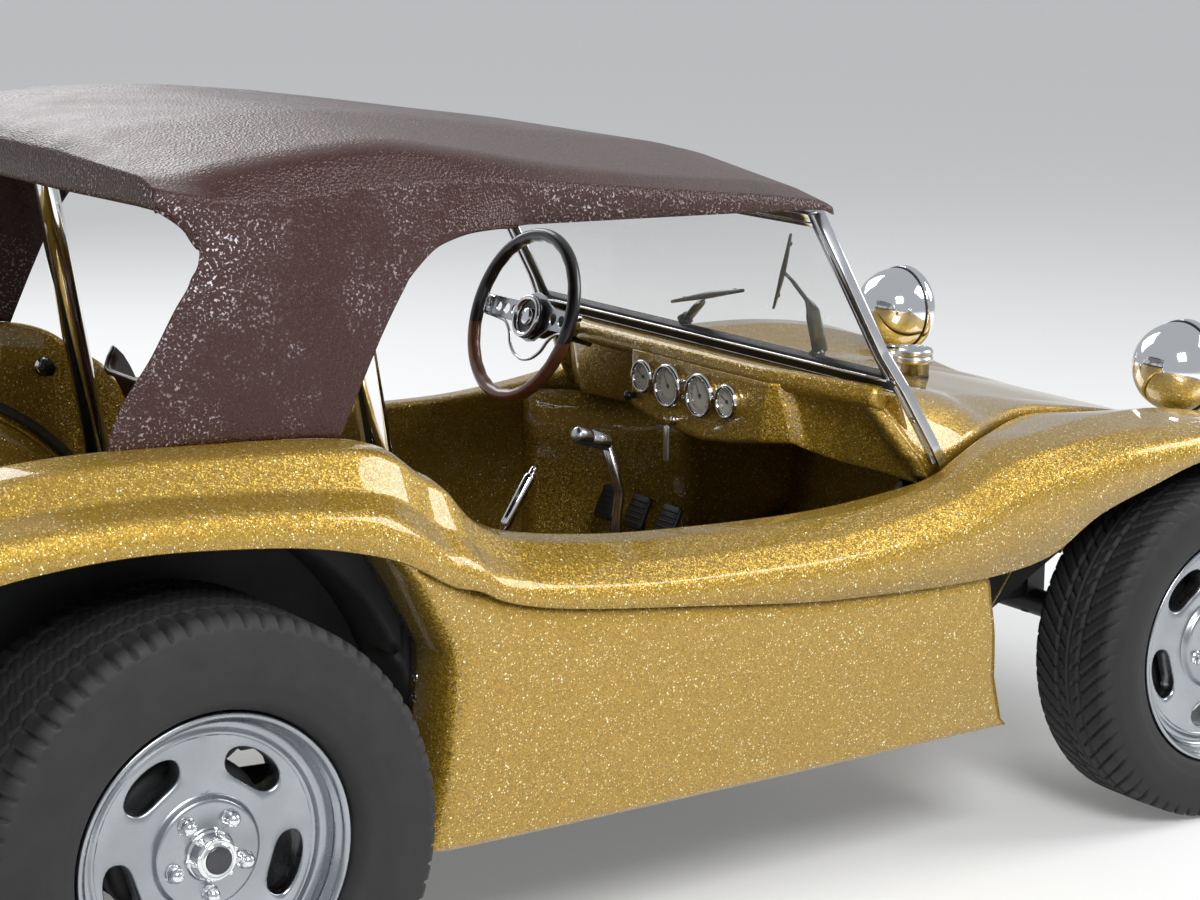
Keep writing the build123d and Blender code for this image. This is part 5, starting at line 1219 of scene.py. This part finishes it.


# Seats: low-backed buckets in brown vinyl. A thin moulded shell carries a seat cushion and a
# back cushion with five sewn channels and a piped edge; all come from one side profile.
# The seat vinyl's paler level ground is dust with a painted sheen, and its crinkle peaks take a faint painted
# sparkle.
SEAT_VINYL = vinyl("seat vinyl", "seat_vinyl", (0.085, 0.034, 0.026, 1), (0.12, 0.06, 0.05, 1), 0.0026, 0.35,
                   (0.12, 0.055, 0.045, 1))
PIPING = vinyl("seat piping", "seat_vinyl", (0.05, 0.02, 0.016, 1), (0.07, 0.035, 0.03, 1), 0.002, 0.2,
               (0.07, 0.035, 0.03, 1))
SEAT_Y = 285


def cushion(along, half_width, thick, channels, up):
    """A closed pad over a centre line in x and z. Its half section across is a superellipse whose
    top bulges between the sewn lines, its height dies out at both ends of the line."""
    line = smooth_line(along, 44)
    way = tangents(line)
    normal = np.column_stack([-way[:, 1], way[:, 0]]) * up
    run = np.linspace(-1, 1, len(line))[:, None]
    fade = (1 - np.abs(run) ** 5) ** 0.5
    turn = circle(96)[None, :]
    c, d = np.cos(turn), np.sin(turn)
    across = np.sign(c) * np.abs(c) ** 0.36
    level = np.sign(d) * np.abs(d) ** 0.8
    width = half_width * (1 - 0.03 * (1 - run ** 2)) * (0.93 + 0.07 * fade)
    sewn = np.ones_like(across)
    for k in range(1, channels):
        at = (2 * k / channels - 1) * 0.72
        sewn = sewn - 0.26 * np.exp(-((across - at) / 0.022) ** 2) * (d > 0)
    hem = 1 - 0.22 * np.exp(-((np.abs(run) - 0.86) / 0.02) ** 2) * (d > 0)
    high = thick * level * np.where(d > 0, sewn * hem * (0.86 + 0.14 * np.cos(across * 0.9)), 0.35) * fade
    x, z = (line[:, k:k + 1] + normal[:, k:k + 1] * high for k in (0, 1))
    return np.stack([x, width * across + 0 * z, z], -1)


def swell(piece, pressure, most):
    """Air pressure in a cloth simulation fills the pad; no point moves further than `most`."""
    rest = np.array([v.co for v in piece.data.vertices])
    cloth = piece.modifiers.new("cloth", "CLOTH")
    cloth.settings.use_pressure = True
    cloth.settings.uniform_pressure_force = pressure
    cloth.settings.effector_weights.gravity = 0
    for k in range(1, 13):
        scene.frame_set(k)
    moved = piece.evaluated_get(bpy.context.evaluated_depsgraph_get()).to_mesh()
    away = np.array([v.co for v in moved.vertices]) - rest
    piece.modifiers.clear()
    scene.frame_set(1)
    length = np.linalg.norm(away, axis=1)[:, None]
    share = np.minimum(1, most / np.maximum(length, 1e-9))
    piece.data.vertices.foreach_set("co", (rest + away * share).ravel())


for side, name in SIDES:
    at = np.array([0, side * SEAT_Y, 0])
    base = cushion([(REAR_X + 560, 372), (REAR_X + 700, 366), (REAR_X + 860, 372), (REAR_X + 984, 362)], 168,
                   44, 5, 1)
    back = cushion([(REAR_X + 566, 420), (REAR_X + 540, 520), (REAR_X + 500, 660), (REAR_X + 448, 786)], 166,
                   38, 5, -1)
    base_pad = joined(f"seat_cushion_{name}", [base + at], SEAT_VINYL, f"seat_{name}")
    back_pad = joined(f"seat_back_{name}", [back + at], SEAT_VINYL, f"seat_{name}")
    for pad, fill in ((base_pad, 0.7), (back_pad, 0.75)):
        swell(pad, 2.5, 0.005)
    profile = smooth_line([(REAR_X + 988, 330), (REAR_X + 984, 352), (REAR_X + 900, 348), (REAR_X + 700, 338),
                           (REAR_X + 585, 346), (REAR_X + 536, 400), (REAR_X + 508, 520), (REAR_X + 466, 660),
                           (REAR_X + 414, 784), (REAR_X + 402, 796)], 60)
    way = tangents(profile)
    normal = np.column_stack([way[:, 1], -way[:, 0]])
    over = np.linspace(-1, 1, 31)[None, :]
    curl = 46 * np.clip((np.abs(over) - 0.72) / 0.28, 0, 1) ** 2 * np.linspace(0.7, 1, 60)[:, None]
    width = 196 - 14 * np.clip(np.linspace(0, 1, 60) - 0.75, 0, 1)[:, None] / 0.25
    x, z = (profile[:, k:k + 1] + normal[:, k:k + 1] * curl for k in (0, 1))
    grid = np.stack([x, width * over, z], -1)
    surface(f"seat_shell_{name}", grid + at, PIPING, f"seat_{name}", (REAR_X + 760, side * SEAT_Y, 560), 7)
    rim = np.concatenate([grid[:, 0], grid[-1, 1:], grid[::-1, -1][1:]])
    joined(f"seat_piping_{name}", [rod(rim + at, 4.5, 10)], PIPING, f"seat_{name}")
    joined(f"seat_runners_{name}", [slab(round_rect(170, 14, 3),
                                         (REAR_X + 740, side * SEAT_Y + y, FLOOR_Z + 0.5), UNIT, 95, 1)
                                    for y in (-130, 130)], BLACK_TRIM)

# Small fittings: two chromed screws in each side panel's rear return, and a belt anchor with a
# black turning knob on each side wall beside the hoop.
head = [(0.2, 0), (7.5, 0), (7.5, 1.6), (5.4, 4.2), (2.2, 4.6), (2.0, 3.2), (0.2, 3.2)]
for side, name in SIDES:
    joined(f"panel_screws_{name}", [spun(head, (REAR_X + read(PANEL_ARCH, z) - 3.4, side * 612, z), REARWARD,
                                         20) for z in (497, 466)], CHROME)
    inside = sideways(-side)
    anchor = np.array([REAR_X + 356, side * 590, 784])
    joined(f"anchor_washer_{name}", [spun([(0.2, 0), (19, 0), (19, 2), (12, 5), (0.2, 5)], anchor, inside,
                                          28)], CHROME)
    turn = circle(96)
    knob = np.column_stack([np.cos(turn), np.sin(turn)]) * (15 + 1.6 * np.cos(6 * turn))[:, None]
    joined(f"anchor_knob_{name}", [slab(knob, anchor + inside[2] * 6, inside, 16, 3)], BLACK_TRIM)

# Roll hoop: one chromed tube bent over the seats on square foot plates with four bolts each.
HOOP_SLOPE, HOOP_S, TUBE_R = 0.17, 535, 22.25
HOOP_TOP, BELT_X, BELT_Z = 1230, REAR_X + 389, 863
foot_x, top_x = (BELT_X + HOOP_SLOPE * (BELT_Z - z) for z in (SHELF_Z, HOOP_TOP))
hoop_path = bent([(foot_x, -HOOP_S, SHELF_Z + 6), (top_x, -HOOP_S, HOOP_TOP), (top_x, HOOP_S, HOOP_TOP),
                  (foot_x, HOOP_S, SHELF_Z + 6)], 110, 14)
feet = [slab(round_rect(34, 34, 6), (foot_x + 10, side * HOOP_S, SHELF_Z + 0.5), UNIT, 9, 1.5)
        for side in (-1, 1)]
bolts = [spun([(0.2, 9), (8, 9), (8, 15), (6, 17), (0.2, 17)],
              (foot_x + 10 + a, side * HOOP_S + b, SHELF_Z + 0.5), UNIT, 6)
         for side in (-1, 1) for a in (-25, 25) for b in (-25, 25)]
joined("hoop_tube", [rod(hoop_path, TUBE_R, 36)] + feet, CHROME, "roll_hoop")
joined("hoop_bolts", bolts, CHROME).data.shade_flat()


# Headlights: chromed bowls with a stepped rim and a fluted lens, each on a short stalk over an
# oval pad. The bowl is a half ellipse turned about the car's length.
FLUTED = shader("fluted lamp glass", "clear_glass", Base_Color=(0.86, 0.88, 0.90, 1), Roughness=0.12,
                Coat_Weight=0.8, Metallic=0.5)[0]
LAMP_X, LAMP_Z, LAMP_S = FRONT_X + 158, 758, 405
ALONG = np.array([(0, 1, 0), (0, 0, 1), (1, 0, 0)], float)
for side, name in SIDES:
    at = (LAMP_X, side * LAMP_S, LAMP_Z)
    bowl = [(84 * np.sin(a) + 0.2, -92 * np.cos(a) ** 0.9 if a < pi / 2 else 0)
            for a in np.linspace(0, pi / 2, 30)]
    bowl += [(84.6, 5), (86.4, 5.6), (87.6, 8), (87.9, 14), (87.6, 20), (86, 23), (82, 29), (78, 32),
             (74, 32.6), (72.5, 31)]
    joined(f"lamp_bowl_{name}", [spun(bowl + [(70, 20), (40, -30), (0.2, -40)], at, ALONG, 72)], CHROME,
           f"headlight_{name}")
    flutes = spun([(73.4, 30), (70, 33.2), (50, 36), (25, 37.4), (0.2, 38)], at, ALONG, 96)
    ripple = 0.7 * np.cos(flutes[..., 1] / 1.5)
    flutes[..., 0] += ripple * (np.hypot(flutes[..., 1] - side * LAMP_S, flutes[..., 2] - LAMP_Z) > 5)
    joined(f"lamp_lens_{name}", [flutes, spun([(73.4, 30), (60, 28), (0.2, 28)], at, ALONG, 96)], FLUTED)
    joined(f"lamp_seam_{name}", [spun([(85.2, 1), (86.8, 2.2), (86.8, 4.6), (85.2, 5.6), (84, 3)], at, ALONG,
                                      72)], BLACK_RUBBER)
    foot = (LAMP_X - 6, side * LAMP_S, 0)
    stalk = spun([(30, 640), (24, 662), (16, 676), (14, 684), (20, 692), (0.2, 694)], foot, UNIT, 28)
    pad = spun([(0.2, 644), (37, 646), (39, 660), (36, 672), (30, 676), (16, 677)], foot,
               UNIT * [[1], [0.74], [1]], 36)
    joined(f"lamp_foot_{name}", [stalk, pad], CHROME, f"headlight_{name}")

# Fuel filler: a bright neck with a black hose band under a twist-on aluminium cap.
cap_at = (FRONT_X - 142, 0, 0)
joined("filler_cap", [
    spun([(0.2, 764), (24, 763.6), (31, 761), (34, 757), (34.6, 752), (33, 748), (30, 747), (33.6, 745),
          (34.6, 741), (34, 735), (32, 733), (27.6, 732), (27.6, 712), (0.2, 712)], cap_at, UNIT, 56),
    spun([(27.6, 704), (28, 701), (28, 684), (0.2, 683)], cap_at, UNIT, 40),
    slab(round_rect(20, 3.4, 3), (FRONT_X - 142, 0, 760), UNIT, 4, 1)], POLISHED, "fuel_filler")
joined("filler_band", [spun([(0.2, 713), (27.2, 713), (27.2, 703), (0.2, 703)], cap_at, UNIT, 40)],
       BLACK_RUBBER)


# Bumpers: chromed tubes. The front one bends back at its ends over two stays, the rear one is
# one loop that rises behind the engine.
FRONT_TUBE_X = FRONT_X + 495
BUMPER_Z, STAY_S = FRONT_TYRE_R + 75, 190
front_loop = bent([(FRONT_X + 430, -430, BUMPER_Z), (FRONT_TUBE_X, -330, BUMPER_Z),
                   (FRONT_TUBE_X, 330, BUMPER_Z), (FRONT_X + 430, 430, BUMPER_Z)], 80, 10)
stays = [rod([(FRONT_TUBE_X - 2, side * STAY_S, BUMPER_Z), (FRONT_X + 300, side * STAY_S, BUMPER_Z),
              (FRONT_X + 145, side * STAY_S, BUMPER_Z)], 16.8, 24) for side in (-1, 1)]
collars = [rod([(FRONT_X + a, side * STAY_S, BUMPER_Z) for a in (158, 164, 176, 182)], [19, 22, 22, 19], 24)
           for side in (-1, 1)]
joined("front_bumper_tube", [rod(front_loop, 19.8, 32)] + stays + collars, CHROME, "front_bumper")
HORN_S, HORN_Z = 205, REAR_TYRE_R - 61
half = [(-60, HORN_Z), (-80, HORN_Z), (-130, 205), (-730, 205), (-730, 520)]
loop = [(REAR_X + x, -HORN_S, z) for x, z in half] + [(REAR_X + x, HORN_S, z) for x, z in half[::-1]]
loop = round_corners(np.array([loop]), [20, 40, 60, 60, 60, 60, 40, 20], 9)[0]
joined("rear_bumper_tube", [rod(loop, 16.8, 28)], CHROME, "rear_bumper")

# Tail lamps: red ribbed lenses in chromed trays under the rear fender lips.
RED = shader("red lens", "red_lens", Base_Color=(0.42, 0.008, 0.010, 1), Roughness=0.12, Coat_Weight=1.0)[0]
for side, name in SIDES:
    at = np.array([REAR_X - 520, side * 640, 585])
    joined(f"lamp_tray_{name}", [slab(round_rect(54, 29, 18), at, REARWARD, 26, 2)], CHROME,
           f"tail_lamp_{name}")
    lens = [slab(round_rect(49, 25, 16, 9), at + REARWARD[2] * 25, REARWARD, 16, 4)]
    lens += [slab(round_rect(46, 1.2, 1), at + REARWARD[2] * 40 + REARWARD[1] * v, REARWARD, 1.6, 0.4)
             for v in (-12, -4, 4, 12)]
    joined(f"lamp_red_{name}", lens, RED, f"tail_lamp_{name}")


# Engine: an air-cooled flat four. A ribbed case between finned cylinders, pressed rocker covers
# with spring clips, black cooling tin with a fan housing, dynamo and pulleys, and a round air cleaner.
CAST = metal("cast alloy", "engine_alloy", (0.50, 0.50, 0.49, 1), 0.42, 0.22, 0.35, 30)
TIN = plain("black tinware", "engine_black", (0.012, 0.012, 0.013, 1), 0.22, 0.15, coat=0.4)
STEEL = metal("satin steel", "exhaust_steel", (0.40, 0.38, 0.36, 1), 0.28, 0.25, 0.3, 22)
ENGINE_Z, ENGINE_FACE = REAR_TYRE_R, REAR_X - 131
CASE_TOP, TIN_Z = ENGINE_Z + 110, ENGINE_Z + 62
CYLINDERS = (REAR_X - 225, REAR_X - 350)


def outwards(side):
    """A right-handed frame whose third axis points to that side of the car."""
    return sideways(side) * [[-side], [1], [1]]


case = [slab(round_rect(124, 119, 38, 8, (0, ENGINE_Z - 10)), (ENGINE_FACE, 0, 0), REARWARD, 350, 4)]
case += [slab(round_rect(124.8, 119.8, 38, 8, (0, ENGINE_Z - 10)), (ENGINE_FACE - d, 0, 0), REARWARD, 6, 1.5)
         for d in range(30, 330, 46)]
heads, covers, clips = [], [], []
mid_x = sum(CYLINDERS) / 2
for side in (-1, 1):
    axes = outwards(side)
    for x in CYLINDERS:
        fins = [(46, 110)]
        for s in range(136, 256, 10):
            fins += [(46, s), (57, s + 0.8), (57.8, s + 1.6), (57, s + 2.4), (46, s + 3.2)]
        case.append(spun([(0.2, 110)] + fins + [(46, 268), (0.2, 268)], (x, 0, ENGINE_Z), axes, 48))
    for k in range(7):
        heads.append(slab(round_rect(139, 59, 16, 5, (0, 0)), (mid_x, side * (262 + k * 9.4), ENGINE_Z), axes,
                          5, 1))
    heads.append(slab(round_rect(132, 52, 14), (mid_x, side * 262, ENGINE_Z), axes, 66, 2))
    covers.append(slab(round_rect(134, 43, 20, 7, (0, -8)), (mid_x, side * 328, ENGINE_Z), axes, 8, 2))
    covers.append(slab(round_rect(126, 36, 18, 7, (0, -8)), (mid_x, side * 336, ENGINE_Z), axes, 33, 9))
    wire = bent([(mid_x, side * 334, ENGINE_Z - 55), (mid_x, side * 369, ENGINE_Z - 44),
                 (mid_x, side * 369, ENGINE_Z + 30), (mid_x, side * 334, ENGINE_Z + 40)], 12)
    clips.append(rod(wire, 2.6, 8))
for name, grids, finish in (("crank_case", case, CAST), ("cylinder_heads", heads, CAST),
                            ("rocker_covers", covers, TIN), ("cover_clips", clips, STEEL)):
    joined(name, grids, finish, "engine_block")

SHROUD_X = REAR_X - 330
half = [(126, CASE_TOP + 2), (128, TIN_Z), (338, TIN_Z), (338, 600), (190, 788)]
hood_line = [(0, CASE_TOP + 2)] + half + [(-s, z) for s, z in half[::-1]] + [(0, CASE_TOP + 2)]
hood_line = round_corners(np.array([hood_line]), [3, 3, 5, 60, 120, 120, 60, 5, 3, 3], 9)[0][:-1]
tin = [slab(hood_line, (SHROUD_X, 0, 0), REARWARD, 69, 7)]
fan = (SHROUD_X, 0, 600)
tin += [spun([(176, 66), (176, 71), (170, 76), (150, 77), (146, 73), (110, 71), (104, 75), (60, 76)], fan,
             REARWARD, 72)]
tin += [slab(round_rect(4, 60, 3), (SHROUD_X, side * 236, 500), REARWARD, 74, 2) for side in (-1, 1)]
joined("fan_housing", tin, TIN, "fan_shroud")
joined("dynamo", [spun([(40, 68), (52, 74), (52, 86), (49, 88), (49, 96), (51, 98), (51, 205), (48, 208),
                        (48, 220), (44, 226), (12, 227), (12, 262), (0.2, 262)], fan, REARWARD, 40)], STEEL,
       "fan_shroud")
joined("dynamo_pulley", [spun([(12, 229), (62, 229), (70, 232), (62, 239), (70, 246), (62, 248), (20, 247),
                               (16, 256), (0.2, 257)], fan, REARWARD, 56)], TIN, "fan_shroud")
joined("crank_wheel", [spun([(30, 350), (30, 370), (84, 371), (88, 374), (78, 380), (88, 386), (84, 389),
                             (70, 389), (66, 384), (34, 384), (30, 389), (14, 389.5), (12, 386), (0.2, 386)],
                            (ENGINE_FACE, 0, ENGINE_Z), REARWARD, 64)], STEEL, "crank_pulley")

CLEANER_X, pot_x, pot_y = REAR_X - 485, REAR_X - 455, -110
joined("inlet_pipe", [spun([(0.2, CASE_TOP), (34, CASE_TOP + 0.4), (34, CASE_TOP + 8), (25, CASE_TOP + 10),
                            (25, 522), (0.2, 522)], (REAR_X - 450, -80, 0), UNIT)], CAST, "carburettor")
joined("carburettor_body", [
    spun([(0.2, 522), (29, 522), (29.6, 530), (22, 534), (22, 560), (28, 566), (29, 600), (25, 606),
          (25, 640), (29, 650), (29, 672), (0.2, 672)], (pot_x, pot_y, 0), UNIT, 36),
    slab(round_rect(16, 12, 4), (pot_x, pot_y - 8, 570), UNIT, 40, 3)], CAST, "carburettor")
ridge = [(0.2, 671), (60, 671), (76, 674), (79.6, 680)]
for k in range(7):
    ridge += [(79.6, 684 + k * 6), (77.2, 687 + k * 6)]
ridge += [(79.6, 730), (76, 737), (60, 739.4), (22, 739.6), (18, 736), (0.2, 736)]
joined("air_cleaner", [spun(ridge, (CLEANER_X, pot_y, 0), UNIT, 60),
                       spun([(0.2, 735), (7, 735), (7, 738), (0.2, 740)], (CLEANER_X, pot_y, 0), UNIT, 16)],
       CHROME, "carburettor")

SILENCER_X = REAR_X - 640
pipes = [rod(bent([(CYLINDERS[0], side * 300, ENGINE_Z - 60), (CYLINDERS[0], side * 300, 230),
                   (SILENCER_X, side * 300, 230), (SILENCER_X, side * 300, 290)], 32, 9), 19.8, 24)
         for side in (-1, 1)]
silencer = spun([(0.2, -335), (40, -334), (52, -330), (55, -324), (53.4, -318), (55, -312), (55, 312),
                 (53.4, 318), (55, 324), (52, 330), (40, 334), (0.2, 335)], (SILENCER_X, 0, 300), outwards(1),
                48)
tips = [spun([(0.2, 60), (17.6, 60), (17.6, 139), (19.8, 139.6), (19.8, 40), (0.2, 40)],
             (SILENCER_X, side * 120, 300), REARWARD, 28) for side in (-1, 1)]
joined("exhaust_system", pipes + [silencer] + tips,
       metal("chromed steel", "exhaust_steel", (0.72, 0.70, 0.66, 1), 0.12, 0.16, 0.2), "exhaust")

# Chassis: satin black frame. Torsion tubes and fork, finned gearbox, drums with ribs, the two-tube
# front beam with its arms and dampers, knuckles and a pressed floor pan with rubber mats.
FRAME_BLACK = plain("satin black paint", "chassis_black", (0.018, 0.018, 0.018, 1), 0.36, 0.2)
TORSION_X, TORSION_Z, TORSION_R = REAR_X + 400, 320, 52
for node in ("rear_frame", "floor_pan", "front_axle_beam", "trailing_arms_left", "trailing_arms_right",
             "nose_panel"):
    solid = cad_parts[node]
    solid.data.materials.clear()
    solid.data.materials.append(GOLD if node == "nose_panel" else FRAME_BLACK)
box_rings = [(60, TORSION_X - REAR_X - TORSION_R), (62, 330), (84, 190), (95, 90), (112, 20), (125, -60),
             (130, -120), (130, -131)]
MAT_X = REAR_X + 960
rear_hub, front_hub = (REAR_X, 0, REAR_TYRE_R), (FRONT_X, 0, FRONT_TYRE_R)
ahead = -REARWARD * [[1], [-1], [1]]
gear = [spun([(0.2, box_rings[0][1])] + box_rings + [(0.2, -131)], rear_hub, ahead, 56)]
gear += [spun([(r - 6, x + 4), (r + 1, x + 2), (r + 1, x - 2), (r - 6, x - 4)], rear_hub, ahead, 56)
         for r, x in ((84, 190), (95, 90), (124, -56))]
gear += [spun([(0.2, -140), (62, -140), (62, -128), (58, -124), (58, 124), (62, 128), (62, 140), (0.2, 140)],
              rear_hub, outwards(1), 40)]
joined("gearbox", gear, CAST, "transaxle")
rear_face, front_face = (wheel[0] + wheel[1] / 2 - RIM_INSET for wheel in (REAR_WHEEL, FRONT_WHEEL))
for side, name in SIDES:
    axes = outwards(side)
    ribs = [(121.8, 541)]
    for k in range(5):
        ribs += [(121.8, 546 + 8 * k), (118, 548 + 8 * k), (118, 551 + 8 * k), (121.8, 553 + 8 * k)]
    bellows = []
    for k in range(6):
        bellows += [(44 + 2 * k, 142 + k * 8), (36, 146 + k * 8)]
    half_axle = [
        spun([(0.2, 141)] + bellows + [(34, 196), (34, 498), (60, 501), (60, 539), (0.2, 539)], rear_hub,
             axes, 40),
        spun([(0.2, 540.5)] + ribs + [(118, 585), (0.2, 585.5)], rear_hub, axes, 64),
        spun([(0.2, 586), (48, 586.5), (48, rear_face - 58), (24, rear_face - 57.5), (24, rear_face - 21),
              (0.2, rear_face - 20)], rear_hub, axes),
        slab([(TORSION_X + 40, TORSION_Z - 34), (TORSION_X + 40, TORSION_Z + 34),
              (REAR_X - 20, REAR_TYRE_R + 30), (REAR_X - 20, REAR_TYRE_R - 30)], (0, side * 490, 0),
             sideways(side), 8, 1)]
    joined(f"half_axle_{name}", half_axle, FRAME_BLACK, f"rear_axle_{name}")
    king = (FRONT_X, side * 545, FRONT_TYRE_R)
    rotor = [
        spun([(0.2, 565), (117.6, 565.6), (117.6, 568), (112, 569), (112, 571), (117.6, 572), (117.6, 574.6),
              (30, 575), (24, 577), (24, front_face - 21), (0.2, front_face - 20)], front_hub, axes, 64),
        spun([(0.2, 545), (30, 545), (30, 574), (0.2, 574)], front_hub, axes),
        spun([(0.2, -57.5), (17, -57.5), (19.8, -54), (19.8, 54), (17, 57.5), (0.2, 57.5)], king, UNIT, 28),
        spun([(0.2, -70), (9.9, -70), (9.9, 70), (0.2, 70)], king, UNIT, 20),
        rod([(FRONT_X - back, side * s, FRONT_TYRE_R - 42) for back, s in ((2, 545), (70, 521), (138, 497))],
            8, 14, 0.9)]
    joined(f"knuckle_body_{name}", rotor, STEEL, f"knuckle_{name}", f"knuckle_{name}")
    mat = [slab(round_rect(330, 150, 30, 6, (MAT_X, side * SEAT_Y)), (0, 0, FLOOR_Z + 0.6), UNIT, 6, 2)]
    mat += [slab(round_rect(300, 2.4, 2, 4, (MAT_X, side * SEAT_Y + v)), (0, 0, FLOOR_Z + 6), UNIT, 3, 1)
            for v in range(-120, 121, 24)]
    joined(f"floor_mat_{name}", mat, BLACK_RUBBER)
